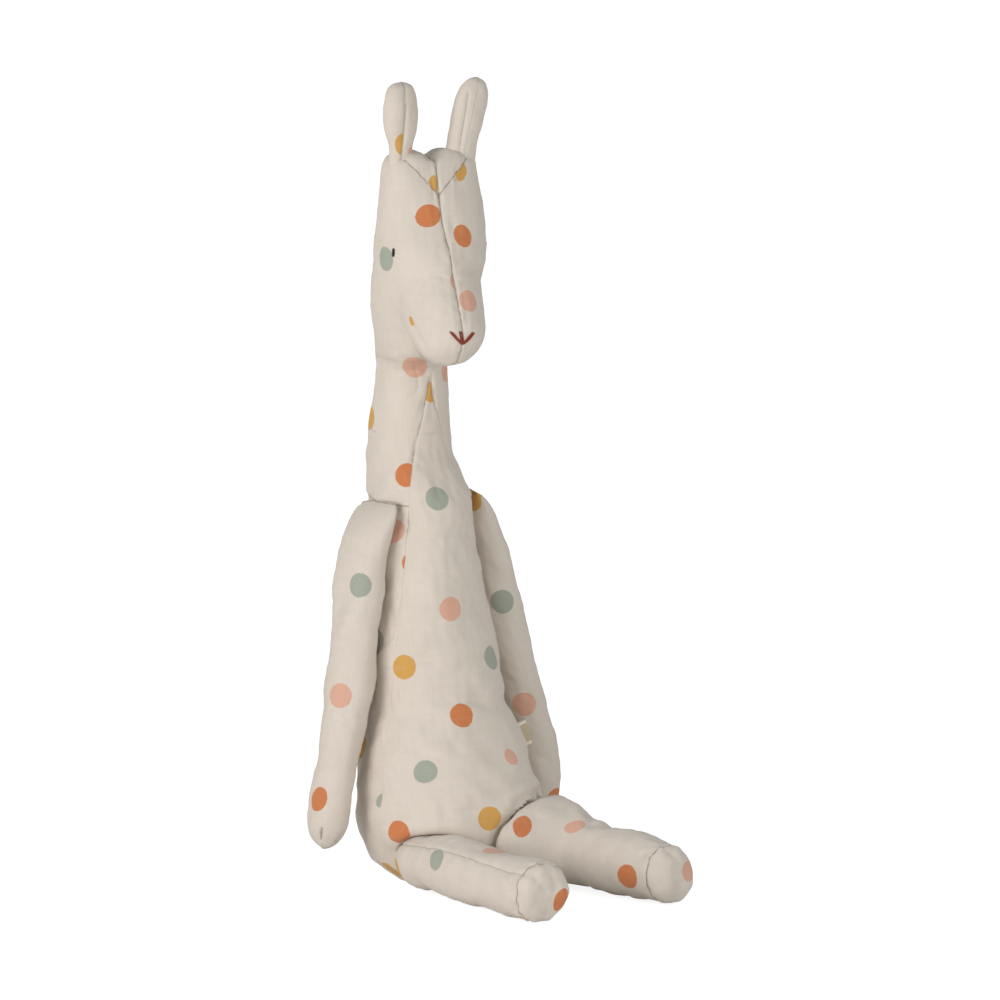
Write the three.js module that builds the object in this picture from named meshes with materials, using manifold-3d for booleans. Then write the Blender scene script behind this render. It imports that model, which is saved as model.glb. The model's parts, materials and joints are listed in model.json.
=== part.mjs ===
// A stuffed linen giraffe that sits on a flat seat with its legs forward: sewn covers over loose
// filling, with a long neck, a turned head and limbs that hang from their seams.
// Millimetres, +Z up, origin at the middle of the seat. The giraffe faces -Y and its left is +X.
import * as THREE from "three";
import { mergeVertices } from "three/addons/utils/BufferGeometryUtils.js";
import Module from "manifold-3d";

const wasm = await Module();
wasm.setup();

// Trunk: how far each level lies above the one below it, its width, its depth and how far back it is.
const rimRise = 9;
const hipRise = 24;
const waistRise = 45;
const chestRise = 46;
const shoulderRise = 42;
const neckRise = 31;
const throatRise = 35;
const hipWidth = 84;
const hipDepth = 84;
const waistWidth = 66;
const waistDepth = 66;
const waistBack = 14;
const chestWidth = 54;
const chestDepth = 56;
const chestBack = 20.5;
const shoulderWidth = 43;
const shoulderDepth = 52;
const shoulderBack = 25.5;
const neckWidth = 37.5;
const neckDepth = 38;
const neckBack = 33.5;
const throatDiameter = 32;
const throatBack = 32;
const seatShare = 0.56;
const rimShare = 0.83;
const gussetPointBack = 12;

// Head: levels above the throat, widths, and the front and back of each level before and behind the neck.
const jawRise = 13;
const cheekRise = 17;
const browRise = 23;
const foreheadRise = 20;
const crownRise = 20;
const crownTopRise = 7;
const jawWidth = 35;
const cheekWidth = 44;
const browWidth = 50;
const foreheadWidth = 49;
const crownWidth = 44;
const jawFront = 30;
const jawBack = 16;
const cheekFront = 32;
const cheekBack = 11;
const browFront = 44;
const browBack = 3;
const foreheadFront = 38.5;
const foreheadBack = -4;
const crownFront = 33.5;
const crownBack = -9;
const crownTopShare = 0.45;
const crownSeamShare = 0.13;
const crownDipShare = 0.3;
const muzzleRootDiameter = 45;
const muzzleDiameter = 33;
const muzzleReach = 43;
const muzzleRise = 21.5;
const headTurn = 10;

// Ears, eyes and stitched nose.
const earLength = 43;
const earWidth = 17;
const earThickness = 11;
const earStemDiameter = 11;
const earSpread = 32;
const earSetBack = 24;
const earLeanLeft = 11;
const earLeanRight = 1;
const eyeDiameter = 5;
const eyeSink = 1.2;
const eyeRise = 3;
const eyeAngle = 62;
const noseStitchRise = 6.3;
const noseStitchDiameter = 1.1;
const noseStitchSpread = 42;
const noseDrop = 2;

// Arms: each hangs from a flat seam that runs from front to back across the shoulder.
const armLength = 156;
const armDiameter = 21;
const armSeamWidth = 28;
const armSeamThickness = 6.4;
const armSeamOutShare = 0.4;
const armSplay = 8;
const armBowLeft = 2.5;
const armBowRight = 0;
const armForward = 15;

// Legs: each lies forward on the floor from a round hip, and ends in a sewn hoof cap.
const legLength = 104;
const thighDiameter = 30.5;
const shinDiameter = 29;
const ankleDiameter = 28;
const hoofDiameter = 29.5;
const hoofLength = 10;
const hipSpread = 57;
const hipForwardLeft = 19;
const hipForwardRight = 25;
const hipLift = 1;
const legSplayLeft = 10;
const legSplayRight = 1;
const legLower = 85;
const legLift = 12;
const rootFillShare = 0.93;

// Tail and side label.
const tailLength = 58;
const tailDiameter = 8;
const tailHeight = 25;
const tailCurl = 62;
const tailRootShare = 0.82;
const labelHeight = 12;
const labelReach = 6;
const labelTape = 0.6;
const labelRise = 61;

// Sewing: cover thickness, the seam gap between pieces, running clearances and the floor flat.
const coverThickness = 1.2;
const seamGap = 0.3;
const jointClearance = 0.4;
const hipClearance = 1;
const earClearance = 0.9;
const bendMargin = 1.5;
const bendRise = 4;
const floorFlat = 0.5;
const mouthSlit = 1.6;
const overrun = 30;

const radians = THREE.MathUtils.degToRad;
const upward = new THREE.Vector3(0, 0, 1);
const sideways = new THREE.Vector3(1, 0, 0);
const backward = new THREE.Vector3(0, 1, 0);

// A smooth curve through rows of numbers, by the first number of each row, that never overshoots a row.
function between(rows, at) {
  const last = rows.length - 1;
  const inside = Math.min(Math.max(at, rows[0][0]), rows[last][0]);
  let k = 0;
  while (k < last - 1 && inside > rows[k + 1][0]) k += 1;
  const span = rows[k + 1][0] - rows[k][0];
  const t = (inside - rows[k][0]) / span;
  const rate = (i, column) => (rows[i + 1][column] - rows[i][column]) / (rows[i + 1][0] - rows[i][0]);
  const slope = (i, column) => {
    if (i === 0) return rate(0, column);
    if (i === last) return rate(last - 1, column);
    const before = rate(i - 1, column);
    const after = rate(i, column);
    return before * after <= 0 ? 0 : (2 * before * after) / (before + after);
  };
  return rows[0].slice(1).map((_, n) => {
    const column = n + 1;
    const start = rows[k][column];
    const end = rows[k + 1][column];
    const leave = slope(k, column) * span;
    const arrive = slope(k + 1, column) * span;
    return (
      start * (2 * t ** 3 - 3 * t ** 2 + 1) +
      leave * (t ** 3 - 2 * t ** 2 + t) +
      end * (3 * t ** 2 - 2 * t ** 3) +
      arrive * (t ** 3 - t ** 2)
    );
  });
}

// An oval of points round a centre, a little squarer than an ellipse where squareness is over 2.
function oval(count, centre, across, along, halfAcross, halfAlong, squareness = 2.2) {
  const bend = (value) => Math.sign(value) * Math.abs(value) ** (2 / squareness);
  return Array.from({ length: count }, (_, i) => {
    const angle = (2 * Math.PI * i) / count;
    return centre
      .clone()
      .addScaledVector(across, halfAcross * bend(Math.cos(angle)))
      .addScaledVector(along, halfAlong * bend(Math.sin(angle)));
  });
}

// Surfaces inside the cloth take half the points of the surface that shows.
const fineness = (inset, count) => (inset > 0 ? Math.ceil(count / 2) : count);
const smooth = (share) => share * share * (3 - 2 * share);

// A closed surface through rings with as many points each, its ends closed at their middles.
function loft(rings) {
  const count = rings[0].length;
  const middle = (ring) => ring.reduce((sum, p) => sum.add(p), new THREE.Vector3()).divideScalar(count);
  const points = [...rings.flat(), middle(rings[0]), middle(rings.at(-1))];
  const first = count * rings.length;
  const faces = [];
  for (let r = 0; r < rings.length - 1; r += 1) {
    for (let i = 0; i < count; i += 1) {
      const a = r * count + i;
      const b = r * count + ((i + 1) % count);
      faces.push([a, b, b + count], [a, b + count, a + count]);
    }
  }
  for (let i = 0; i < count; i += 1) {
    const next = (i + 1) % count;
    faces.push([first, next, i], [first + 1, first - count + i, first - count + next]);
  }
  const share = ([a, b, c]) => points[a].dot(points[b].clone().cross(points[c]));
  const volume = faces.reduce((sum, face) => sum + share(face), 0);
  const outward = volume < 0 ? faces.map(([a, b, c]) => [a, c, b]) : faces;
  const geometry = new THREE.BufferGeometry().setFromPoints(points);
  geometry.setIndex(outward.flat());
  return geometry;
}

// A geometry as a solid that can be cut and joined.
function solid(geometry) {
  const bare = geometry.clone();
  bare.deleteAttribute("normal");
  bare.deleteAttribute("uv");
  const merged = mergeVertices(bare);
  const vertProperties = Float32Array.from(merged.attributes.position.array);
  const triVerts = Uint32Array.from(merged.index.array);
  return new wasm.Manifold(new wasm.Mesh({ numProp: 3, vertProperties, triVerts }));
}

// A box by its lowest and highest corners.
function block(low, high) {
  const size = high.clone().sub(low);
  const middle = low.clone().add(high).divideScalar(2);
  return solid(new THREE.BoxGeometry(size.x, size.y, size.z).translate(middle.x, middle.y, middle.z));
}

function ball(centre, radius, segments = 16) {
  const bands = segments / 2;
  return solid(new THREE.SphereGeometry(radius, segments, bands).translate(centre.x, centre.y, centre.z));
}

function round(axis, centre, radius, length, segments) {
  const turn = new THREE.Quaternion().setFromUnitVectors(backward, axis);
  const rod = new THREE.CylinderGeometry(radius, radius, length, segments).applyQuaternion(turn);
  return solid(rod.translate(centre.x, centre.y, centre.z));
}

// A piece ready to show: its largest body, without the crumbs that a cut leaves along a seam.
function shown(name, made, material) {
  const main = made.decompose().reduce((most, body) => (body.volume() > most.volume() ? body : most));
  const { vertProperties, triVerts } = main.getMesh();
  const geometry = new THREE.BufferGeometry();
  geometry.setAttribute("position", new THREE.BufferAttribute(Float32Array.from(vertProperties), 3));
  geometry.setIndex(new THREE.BufferAttribute(Uint32Array.from(triVerts), 1));
  geometry.computeVertexNormals();
  const mesh = new THREE.Mesh(geometry, material);
  mesh.name = name;
  return mesh;
}

const linen = new THREE.MeshStandardMaterial({ color: 0xd6cbbd, roughness: 0.95, metalness: 0 });
const filling = new THREE.MeshStandardMaterial({ color: 0xf4f2ec, roughness: 1, metalness: 0 });
const darkThread = new THREE.MeshStandardMaterial({ color: 0x14110f, roughness: 0.7, metalness: 0 });
const rustThread = new THREE.MeshStandardMaterial({ color: 0x8c3a22, roughness: 0.8, metalness: 0 });
const tape = new THREE.MeshStandardMaterial({ color: 0xe6dcc9, roughness: 0.9, metalness: 0 });

// Heights of the trunk's levels above the floor.
const hipHeight = rimRise + hipRise;
const waistHeight = hipHeight + waistRise;
const chestHeight = waistHeight + chestRise;
const shoulderHeight = chestHeight + shoulderRise;
const neckHeight = shoulderHeight + neckRise;
const throatHeight = neckHeight + throatRise;

// Height, half width, half depth, how far back, and the half angle of the front gusset in degrees.
const trunkLevels = [
  [0, (hipWidth / 2) * seatShare, (hipDepth / 2) * seatShare, 0, 86],
  [rimRise, (hipWidth / 2) * rimShare, (hipDepth / 2) * rimShare, 0, 86],
  [hipHeight, hipWidth / 2, hipDepth / 2, 0, 84],
  [waistHeight, waistWidth / 2, waistDepth / 2, waistBack, 72],
  [chestHeight, chestWidth / 2, chestDepth / 2, chestBack, 60],
  [shoulderHeight, shoulderWidth / 2, shoulderDepth / 2, shoulderBack, 48],
  [neckHeight, neckWidth / 2, neckDepth / 2, neckBack, 24],
  [throatHeight, throatDiameter / 2, throatDiameter / 2, throatBack, 3],
];
const trunkAt = (height) => {
  const [halfWidth, halfDepth, back, gusset] = between(trunkLevels, height);
  return { halfWidth, halfDepth, back, gusset };
};

const trunkRings = 18;
const trunkSteps = Array.from({ length: trunkRings }, (_, i) => (throatHeight * i) / (trunkRings - 1));
const trunkHeights = [...trunkSteps, rimRise / 2].sort((a, b) => a - b);

// The whole stuffed trunk from the seat to the throat, drawn in by inset and run on past the throat.
function trunk(inset) {
  const points = fineness(inset, 24);
  return solid(
    loft(
      [...trunkHeights, throatHeight + overrun].map((height) => {
        const { halfWidth, halfDepth, back } = trunkAt(height);
        const centre = new THREE.Vector3(0, back, height === 0 ? inset : height);
        return oval(points, centre, sideways, backward, halfWidth - inset, halfDepth - inset);
      }),
    ),
  );
}

// The front gusset's region: a wedge from a line behind the trunk's middle, so that the gusset ends in a
// point under the seat. It is wider or narrower by a share of a seam gap.
function gussetWedge(gapShare) {
  const rays = 7;
  return solid(
    loft(
      [-overrun, ...trunkHeights, throatHeight + overrun].map((height) => {
        const { halfWidth, halfDepth, back, gusset } = trunkAt(height);
        const seamAcross = halfWidth * Math.sin(radians(gusset)) + gapShare * seamGap;
        const seamAhead = halfDepth * Math.cos(radians(gusset)) + gussetPointBack;
        const half = Math.atan2(seamAcross, seamAhead);
        const reach = hipWidth + overrun;
        const point = back + gussetPointBack + gapShare * seamGap;
        const fan = Array.from({ length: rays }, (__, k) => half * ((2 * k) / (rays - 1) - 1));
        const rim = fan.map(
          (angle) => new THREE.Vector3(reach * Math.sin(angle), point - reach * Math.cos(angle), height),
        );
        return [new THREE.Vector3(0, point, height), ...rim];
      }),
    ),
  );
}

// The neck bends on the trunk about a line across the shoulders, and the two meet at a round cut.
const bendHeight = shoulderHeight + bendRise;
const bendCentre = new THREE.Vector3(0, trunkAt(bendHeight).back, bendHeight);
const bendRadius = shoulderDepth / 2 + bendMargin;
const bendRod = (grow) => round(sideways, bendCentre, bendRadius + grow, hipWidth * 2, 44);
const everything = (low, high) =>
  block(
    new THREE.Vector3(-hipWidth * 2, -hipDepth * 2, low),
    new THREE.Vector3(hipWidth * 2, hipDepth * 2, high),
  );

// A limb swings in its own upright plane. This is all the space it sweeps near its root, in the limb's
// frame: root at the origin, limb along -Y, lowered by the first angle and lifted by the second.
function swept(radius, lowered, lifted, reach) {
  const [slices, arc] = [9, 9];
  return loft(
    Array.from({ length: slices }, (_, i) => {
      const lean = Math.PI * (i / (slices - 1) - 0.5);
      const across = radius * Math.sin(lean);
      const half = Math.max(radius * Math.cos(lean), seamGap);
      const at = (angle, out, side) =>
        new THREE.Vector3(
          across,
          -out * Math.cos(angle) - side * Math.sin(angle),
          -out * Math.sin(angle) + side * Math.cos(angle),
        );
      const down = radians(lowered);
      const up = -radians(lifted);
      const share = (k) => k / (arc - 1);
      const tip = Array.from({ length: arc }, (__, k) => at(up + (down - up) * share(k), reach, 0));
      const root = Array.from({ length: arc }, (__, k) => {
        const turn = down + (up - down + Math.PI) * share(k) - Math.PI;
        return at(turn, 0, half);
      });
      return [at(up, reach, half), ...tip, at(down, reach, -half), ...root];
    }),
  );
}

// Hips, shoulder seams and tail root, which the trunk makes room for.
const hipRadius = thighDiameter / 2;
const hipHeightAboveFloor = hipRadius + hipLift - floorFlat;
const hipPoint = (side) => {
  const forward = side > 0 ? hipForwardLeft : hipForwardRight;
  return new THREE.Vector3((side * hipSpread) / 2, -forward, hipHeightAboveFloor);
};
const shoulderLine = (side) =>
  new THREE.Vector3(
    side * (shoulderWidth / 2 + armSeamThickness * armSeamOutShare),
    shoulderBack,
    shoulderHeight,
  );
const tailRadius = tailDiameter / 2;
const seatAtTail = trunkAt(tailHeight);
const tailPoint = new THREE.Vector3(0, seatAtTail.back + seatAtTail.halfDepth, tailHeight);
const legSplay = (side) => radians(side > 0 ? legSplayLeft : legSplayRight) * side;

// All the sockets in the trunk, each widened by grow.
function trunkSockets(grow) {
  const sockets = [1, -1].flatMap((side) => {
    const hip = hipPoint(side);
    const room = swept(hipRadius + hipClearance + grow, legLower, legLift, legLength)
      .rotateZ(legSplay(side))
      .translate(hip.x, hip.y, hip.z);
    const around = jointClearance + grow;
    const grooveSides = 20;
    const radius = armSeamThickness / 2 + around;
    const groove = round(backward, shoulderLine(side), radius, armSeamWidth + 2 * around, grooveSides);
    return [solid(room), groove];
  });
  return [...sockets, ball(tailPoint, tailRadius + jointClearance + grow)];
}

const cutBy = (made, tools) => tools.reduce((rest, tool) => rest.subtract(tool), made);
const leftHalf = (gap) =>
  block(
    new THREE.Vector3(gap / 2, -hipDepth * 3, -overrun),
    new THREE.Vector3(hipWidth * 2, hipDepth * 3, throatHeight * 2),
  );
const rightHalf = (gap) => leftHalf(gap).mirror([1, 0, 0]);

// A cover is what lies between a form and the same form drawn in by its thickness.
const coverOf = (form) => form(0).subtract(form(coverThickness));
const fillingOf = (form) => form(coverThickness + seamGap);

function makeTrunk() {
  const form = (inset) => cutBy(trunk(inset), trunkSockets(inset));
  const below = everything(-overrun, bendHeight).add(bendRod(0));
  const cover = coverOf(form).intersect(below);
  const wedge = gussetWedge(-0.5);
  const rest = cover.subtract(gussetWedge(0.5));
  return [
    shown("belly_panel", cover.intersect(wedge), linen),
    shown("body_side_left", rest.intersect(leftHalf(seamGap)), linen),
    shown("body_side_right", rest.intersect(rightHalf(seamGap)), linen),
    shown("torso_filling", fillingOf(form).intersect(below), filling),
  ];
}

function makeNeck() {
  const above = everything(bendHeight, throatHeight).subtract(bendRod(seamGap));
  const cover = coverOf(trunk).intersect(above);
  const rest = cover.subtract(gussetWedge(0.5));
  return [
    shown("throat_panel", cover.intersect(gussetWedge(-0.5)), linen),
    shown("neck_side_left", rest.intersect(leftHalf(seamGap)), linen),
    shown("neck_side_right", rest.intersect(rightHalf(seamGap)), linen),
    shown("neck_filling", fillingOf(trunk).intersect(above), filling),
  ];
}

// Heights of the head's levels above the throat, in the head's own turned frame, whose origin is the
// middle of the throat.
const jawLevel = jawRise;
const cheekLevel = jawLevel + cheekRise;
const browLevel = cheekLevel + browRise;
const foreheadLevel = browLevel + foreheadRise;
const crownLevel = foreheadLevel + crownRise;
const crownTop = crownLevel + crownTopRise;
const skullLevels = [
  [0, throatDiameter / 2, throatDiameter / 2, throatDiameter / 2],
  [jawLevel, jawWidth / 2, jawFront, jawBack],
  [cheekLevel, cheekWidth / 2, cheekFront, cheekBack],
  [browLevel, browWidth / 2, browFront, browBack],
  [foreheadLevel, foreheadWidth / 2, foreheadFront, foreheadBack],
  [crownLevel, crownWidth / 2, crownFront, crownBack],
];

function skullRing(height, inset) {
  const points = fineness(inset, 24);
  const [halfWidth, front, back] = between(skullLevels, height);
  const centre = new THREE.Vector3(0, (back - front) / 2, height);
  return oval(points, centre, sideways, backward, halfWidth - inset, (front + back) / 2 - inset, 2.3);
}

// The crown closes over in two soft lobes, one each side of the middle seam.
function crownRing(share, inset) {
  const dome = Math.cos((share * Math.PI) / 2) ** crownTopShare;
  const rise = Math.sin((share * Math.PI) / 2) * (crownTopRise - inset);
  const middle = (crownBack - crownFront) / 2;
  return skullRing(crownLevel, inset).map((p) => {
    const lobe = 1 - crownDipShare * Math.exp(-((p.x / crownWidth / crownSeamShare) ** 2)) * share;
    return new THREE.Vector3(p.x * dome, middle + (p.y - middle) * dome, crownLevel + rise * lobe);
  });
}

function skull(inset) {
  const [rings, domeRings, domeShare] = [11, 4, 0.94];
  const start = -overrun;
  const low = skullRing(0, inset).map((p) => p.setZ(start));
  const sides = Array.from({ length: rings }, (_, i) => skullRing((crownLevel * i) / (rings - 1), inset));
  const domeAt = (i) => (domeShare * (i + 1)) / domeRings;
  const dome = Array.from({ length: domeRings }, (_, i) => crownRing(domeAt(i), inset));
  return solid(loft([low, ...sides, ...dome]));
}

// The muzzle tapers from inside the brow to a round nose that hangs before the throat: two balls and the
// cone that touches both.
const muzzleRoot = new THREE.Vector3(0, (browBack - browFront) / 2, browLevel);
const muzzleTip = new THREE.Vector3(0, -muzzleReach, muzzleRise);
const muzzleAxis = muzzleTip.clone().sub(muzzleRoot).normalize();
const muzzleLength = muzzleTip.distanceTo(muzzleRoot);
function muzzle(inset) {
  const [points, rings] = [fineness(inset, 20), fineness(inset, 6)];
  const up = new THREE.Vector3().crossVectors(sideways, muzzleAxis);
  const rootRadius = muzzleRootDiameter / 2;
  const tipRadius = muzzleDiameter / 2;
  const touch = Math.acos((rootRadius - tipRadius) / muzzleLength);
  const poleShare = 0.04;
  const bands = (from, to, radius, out) =>
    Array.from({ length: rings }, (_, i) => {
      const angle = from + ((to - from) * i) / (rings - 1);
      const centre = muzzleRoot.clone().addScaledVector(muzzleAxis, out + radius * Math.cos(angle));
      return oval(points, centre, sideways, up, radius * Math.sin(angle), radius * Math.sin(angle), 2);
    });
  const root = bands(Math.PI * (1 - poleShare), touch, rootRadius - inset, 0);
  const tip = bands(touch, Math.PI * poleShare, tipRadius - inset, muzzleLength);
  return solid(loft([...root, ...tip]));
}

const earRadius = earStemDiameter / 2;
const earSeatHeight = crownLevel + crownTopRise / 2;
const earSeat = (side) => new THREE.Vector3((side * earSpread) / 2, -earSetBack, earSeatHeight);
const headForm = (inset) =>
  cutBy(
    skull(inset).add(muzzle(inset)),
    [1, -1].map((side) => ball(earSeat(side), earRadius + earClearance + inset)),
  );

// The crown gusset's region: a V between the ears, its point on the forehead.
function crownWedge(gapShare) {
  const point = crownLevel - foreheadRise / 2 - (gapShare * seamGap) / Math.sin(Math.PI / 4);
  const top = crownTop + overrun;
  const outline = new THREE.Shape([
    new THREE.Vector2(0, point),
    new THREE.Vector2(top - point, top),
    new THREE.Vector2(point - top, top),
  ]);
  const prism = new THREE.ExtrudeGeometry(outline, { depth: hipDepth * 2, bevelEnabled: false });
  return solid(prism.rotateX(Math.PI / 2).translate(0, hipDepth, 0));
}

function makeHead() {
  const above = everything(seamGap, throatHeight);
  const cover = coverOf(headForm).intersect(above);
  const crown = cover.intersect(crownWedge(-0.5));
  const sides = cover.subtract(crownWedge(0.5));
  const face = headForm(-seamGap);
  const eyes = [1, -1].map((side) => {
    const [halfWidth, front, back] = between(skullLevels, browLevel + eyeRise);
    const angle = radians(eyeAngle);
    const reach = (front + back) / 2;
    const spot = new THREE.Vector3(
      side * (halfWidth - eyeSink) * Math.sin(angle),
      (back - front) / 2 - (reach - eyeSink) * Math.cos(angle),
      browLevel + eyeRise,
    );
    const eye = ball(spot, eyeDiameter / 2, 12).subtract(face);
    return shown(side > 0 ? "eye_left" : "eye_right", eye, darkThread);
  });
  return [
    shown("head_side_left", sides.intersect(leftHalf(seamGap)), linen),
    shown("head_side_right", sides.intersect(rightHalf(seamGap)), linen),
    shown("crown_gusset_left", crown.intersect(leftHalf(seamGap)), linen),
    shown("crown_gusset_right", crown.intersect(rightHalf(seamGap)), linen),
    shown("head_filling", fillingOf(headForm).intersect(above), filling),
    ...eyes,
    makeNose(face),
  ];
}

// Three stitches that fan up from one point under the nose and lie on the cloth.
function makeNose(face) {
  const tipRadius = muzzleDiameter / 2 + seamGap + noseStitchDiameter / 3;
  const onMuzzle = (aside, rise) => {
    const flat = Math.sqrt(tipRadius ** 2 - aside ** 2 - rise ** 2);
    return new THREE.Vector3(aside, -muzzleReach - flat, muzzleRise + rise);
  };
  const foot = -noseDrop;
  const stitches = [-1, 0, 1].map((way) => {
    const lean = radians(noseStitchSpread) * way;
    const [steps, sides, rings] = [4, 6, 5];
    const path = Array.from({ length: steps + 1 }, (_, i) => {
      const rise = (noseStitchRise * i) / steps;
      return onMuzzle(rise * Math.tan(lean), foot + rise);
    });
    const curve = new THREE.CatmullRomCurve3(path);
    const section = Array.from({ length: rings }, (_, i) => {
      const t = i / (rings - 1);
      const tangent = curve.getTangent(t);
      const across = new THREE.Vector3().crossVectors(tangent, backward).normalize();
      const along = new THREE.Vector3().crossVectors(across, tangent);
      const radius = (noseStitchDiameter / 2) * (1 - 0.3 * Math.abs(2 * t - 1));
      return oval(sides, curve.getPoint(t), across, along, radius, radius, 2);
    });
    return solid(loft(section));
  });
  const joined = stitches.reduce((sum, stitch) => sum.add(stitch));
  return shown("nose_stitches", joined.subtract(face), rustThread);
}

// Share of the ear's length, then shares of its width and thickness. It is thin enough near its seam to
// fold forward and back over the crown.
const earShares = [
  [0, 0.53, 0.44],
  [0.18, 0.63, 0.58],
  [0.55, 0.97, 0.96],
  [0.72, 1, 1],
  [0.88, 0.82, 0.84],
  [0.97, 0.42, 0.46],
  [1, 0.12, 0.14],
];

function makeEar(side) {
  const [rings, points, stemShares] = [10, 14, [0.2, 0.65, 0.92]];
  const seat = earSeat(side);
  const [, stemThickShare] = between(earShares, 0);
  const stem = stemShares.map((share) => {
    const angle = Math.acos(share);
    const centre = new THREE.Vector3(0, 0, -earRadius * Math.sin(angle));
    const thick = Math.min(earRadius * share, (earThickness / 2) * stemThickShare);
    return oval(points, centre, sideways, backward, earRadius * share, thick, 2);
  });
  const blade = Array.from({ length: rings }, (_, i) => {
    const share = i / (rings - 1);
    const [wide, thick] = between(earShares, share);
    const centre = new THREE.Vector3(0, 0, (earLength - earRadius) * share);
    return oval(points, centre, sideways, backward, (earWidth / 2) * wide, (earThickness / 2) * thick, 2);
  });
  const lean = radians(side > 0 ? earLeanLeft : -earLeanRight);
  const ear = loft([...stem, ...blade]).rotateY(lean).translate(seat.x, seat.y, seat.z);
  return shown(side > 0 ? "ear_left" : "ear_right", solid(ear), linen);
}

// Share of the arm's length, then its half thickness and its half width from front to back, which below
// the seam are shares of the arm's diameter.
const armShares = [
  [0.07, 0.26, 0.63],
  [0.16, 0.41, 0.57],
  [0.27, 0.49, 0.52],
  [0.6, 0.48, 0.49],
  [0.8, 0.5, 0.5],
  [0.93, 0.43, 0.43],
];
const armLevels = [
  [0, armSeamThickness / 2, armSeamWidth / 2],
  ...armShares.map(([share, thin, wide]) => [share, armDiameter * thin, armDiameter * wide]),
];

// Below its groove the arm follows the trunk's side down to the hips, and then hangs clear of it.
const grooveShare = (armSeamThickness / 2 + jointClearance) / armLength;
function armPoint(side, share) {
  const line = shoulderLine(side);
  const height = line.z - (armLength - armSeamThickness) * share;
  const [thickness] = between(armLevels, share);
  const nearby = armDiameter / 4;
  const lean = (trunkAt(height - nearby).halfWidth - trunkAt(height + nearby).halfWidth) / 2;
  const body = trunkAt(Math.max(height, hipHeight)).halfWidth + Math.max(lean, 0) + jointClearance;
  const bow = (side > 0 ? armBowLeft : armBowRight) * Math.sin(Math.PI * Math.min(share, 1));
  const clear = body + thickness + bow + armSplay * share ** 3;
  const settle = Math.min(share / grooveShare, 1);
  const x = Math.abs(line.x) + (Math.max(clear, Math.abs(line.x)) - Math.abs(line.x)) * settle;
  return new THREE.Vector3(side * x, line.y - armForward * share, height);
}

function arm(side, inset) {
  const [rings, points] = [fineness(inset, 13), fineness(inset, 16)];
  const ring = (share, thin, wide, shift = 0) => {
    const stepShare = 0.01;
    const ahead = armPoint(side, Math.min(share + stepShare, 1));
    const tangent = ahead.sub(armPoint(side, Math.max(share - stepShare, 0))).normalize();
    const across = new THREE.Vector3().crossVectors(tangent, backward).normalize();
    const along = new THREE.Vector3().crossVectors(across, tangent).normalize();
    const centre = armPoint(side, share).addScaledVector(tangent, shift);
    return oval(points, centre, across, along, thin, wide);
  };
  const drawn = (half) => Math.max(half - inset, mouthSlit / 2);
  const seamHalf = armSeamThickness / 2;
  const liftShares = [0.94, 0.7, 0.36];
  const rounded = liftShares.map((lift) =>
    ring(0, seamHalf * Math.sqrt(1 - lift ** 2), armSeamWidth / 2, -seamHalf * lift),
  );
  const runOut = [ring(0, drawn(seamHalf), drawn(armSeamWidth / 2), -armSeamThickness)];
  const handShare = 0.93;
  const evenly = Array.from({ length: rings }, (_, i) => (handShare * i) / (rings - 1));
  const sleeve = [0, grooveShare, ...evenly.slice(1)].map((share) => {
    const [thin, wide] = between(armLevels, share);
    return ring(share, drawn(thin), drawn(wide));
  });
  const [handThin, handWide] = between(armLevels, handShare);
  const tipShares = [0.35, 0.65, 0.87, 0.98];
  const tip = tipShares.map((out) => {
    const close = Math.sqrt(1 - out ** 2);
    const shift = (armLength * (1 - handShare) - inset) * out;
    return ring(handShare, (handThin - inset) * close, (handWide - inset) * close, shift);
  });
  return solid(loft([...(inset > 0 ? runOut : rounded), ...sleeve, ...tip]));
}

function makeArm(side) {
  const name = side > 0 ? "left" : "right";
  return [
    shown(`arm_cover_${name}`, coverOf((inset) => arm(side, inset)), linen),
    shown(`arm_filling_${name}`, makeArmFilling(side), filling),
  ];
}

// The filling starts below the flat seam allowance, where the sleeve has opened out.
function makeArmFilling(side) {
  const allowanceShare = 0.08;
  const start = shoulderHeight - armLength * allowanceShare;
  return arm(side, coverThickness + seamGap).intersect(everything(-overrun, start));
}

// Distance from the hip as a share of the leg, then the leg's radius.
const kneeShare = 0.55;
const ankleShare = 0.78;
const hoofShare = 0.95;
const legLevels = [
  [0, thighDiameter / 2],
  [kneeShare, shinDiameter / 2],
  [ankleShare, ankleDiameter / 2],
  [hoofShare, hoofDiameter / 2],
];

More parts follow.
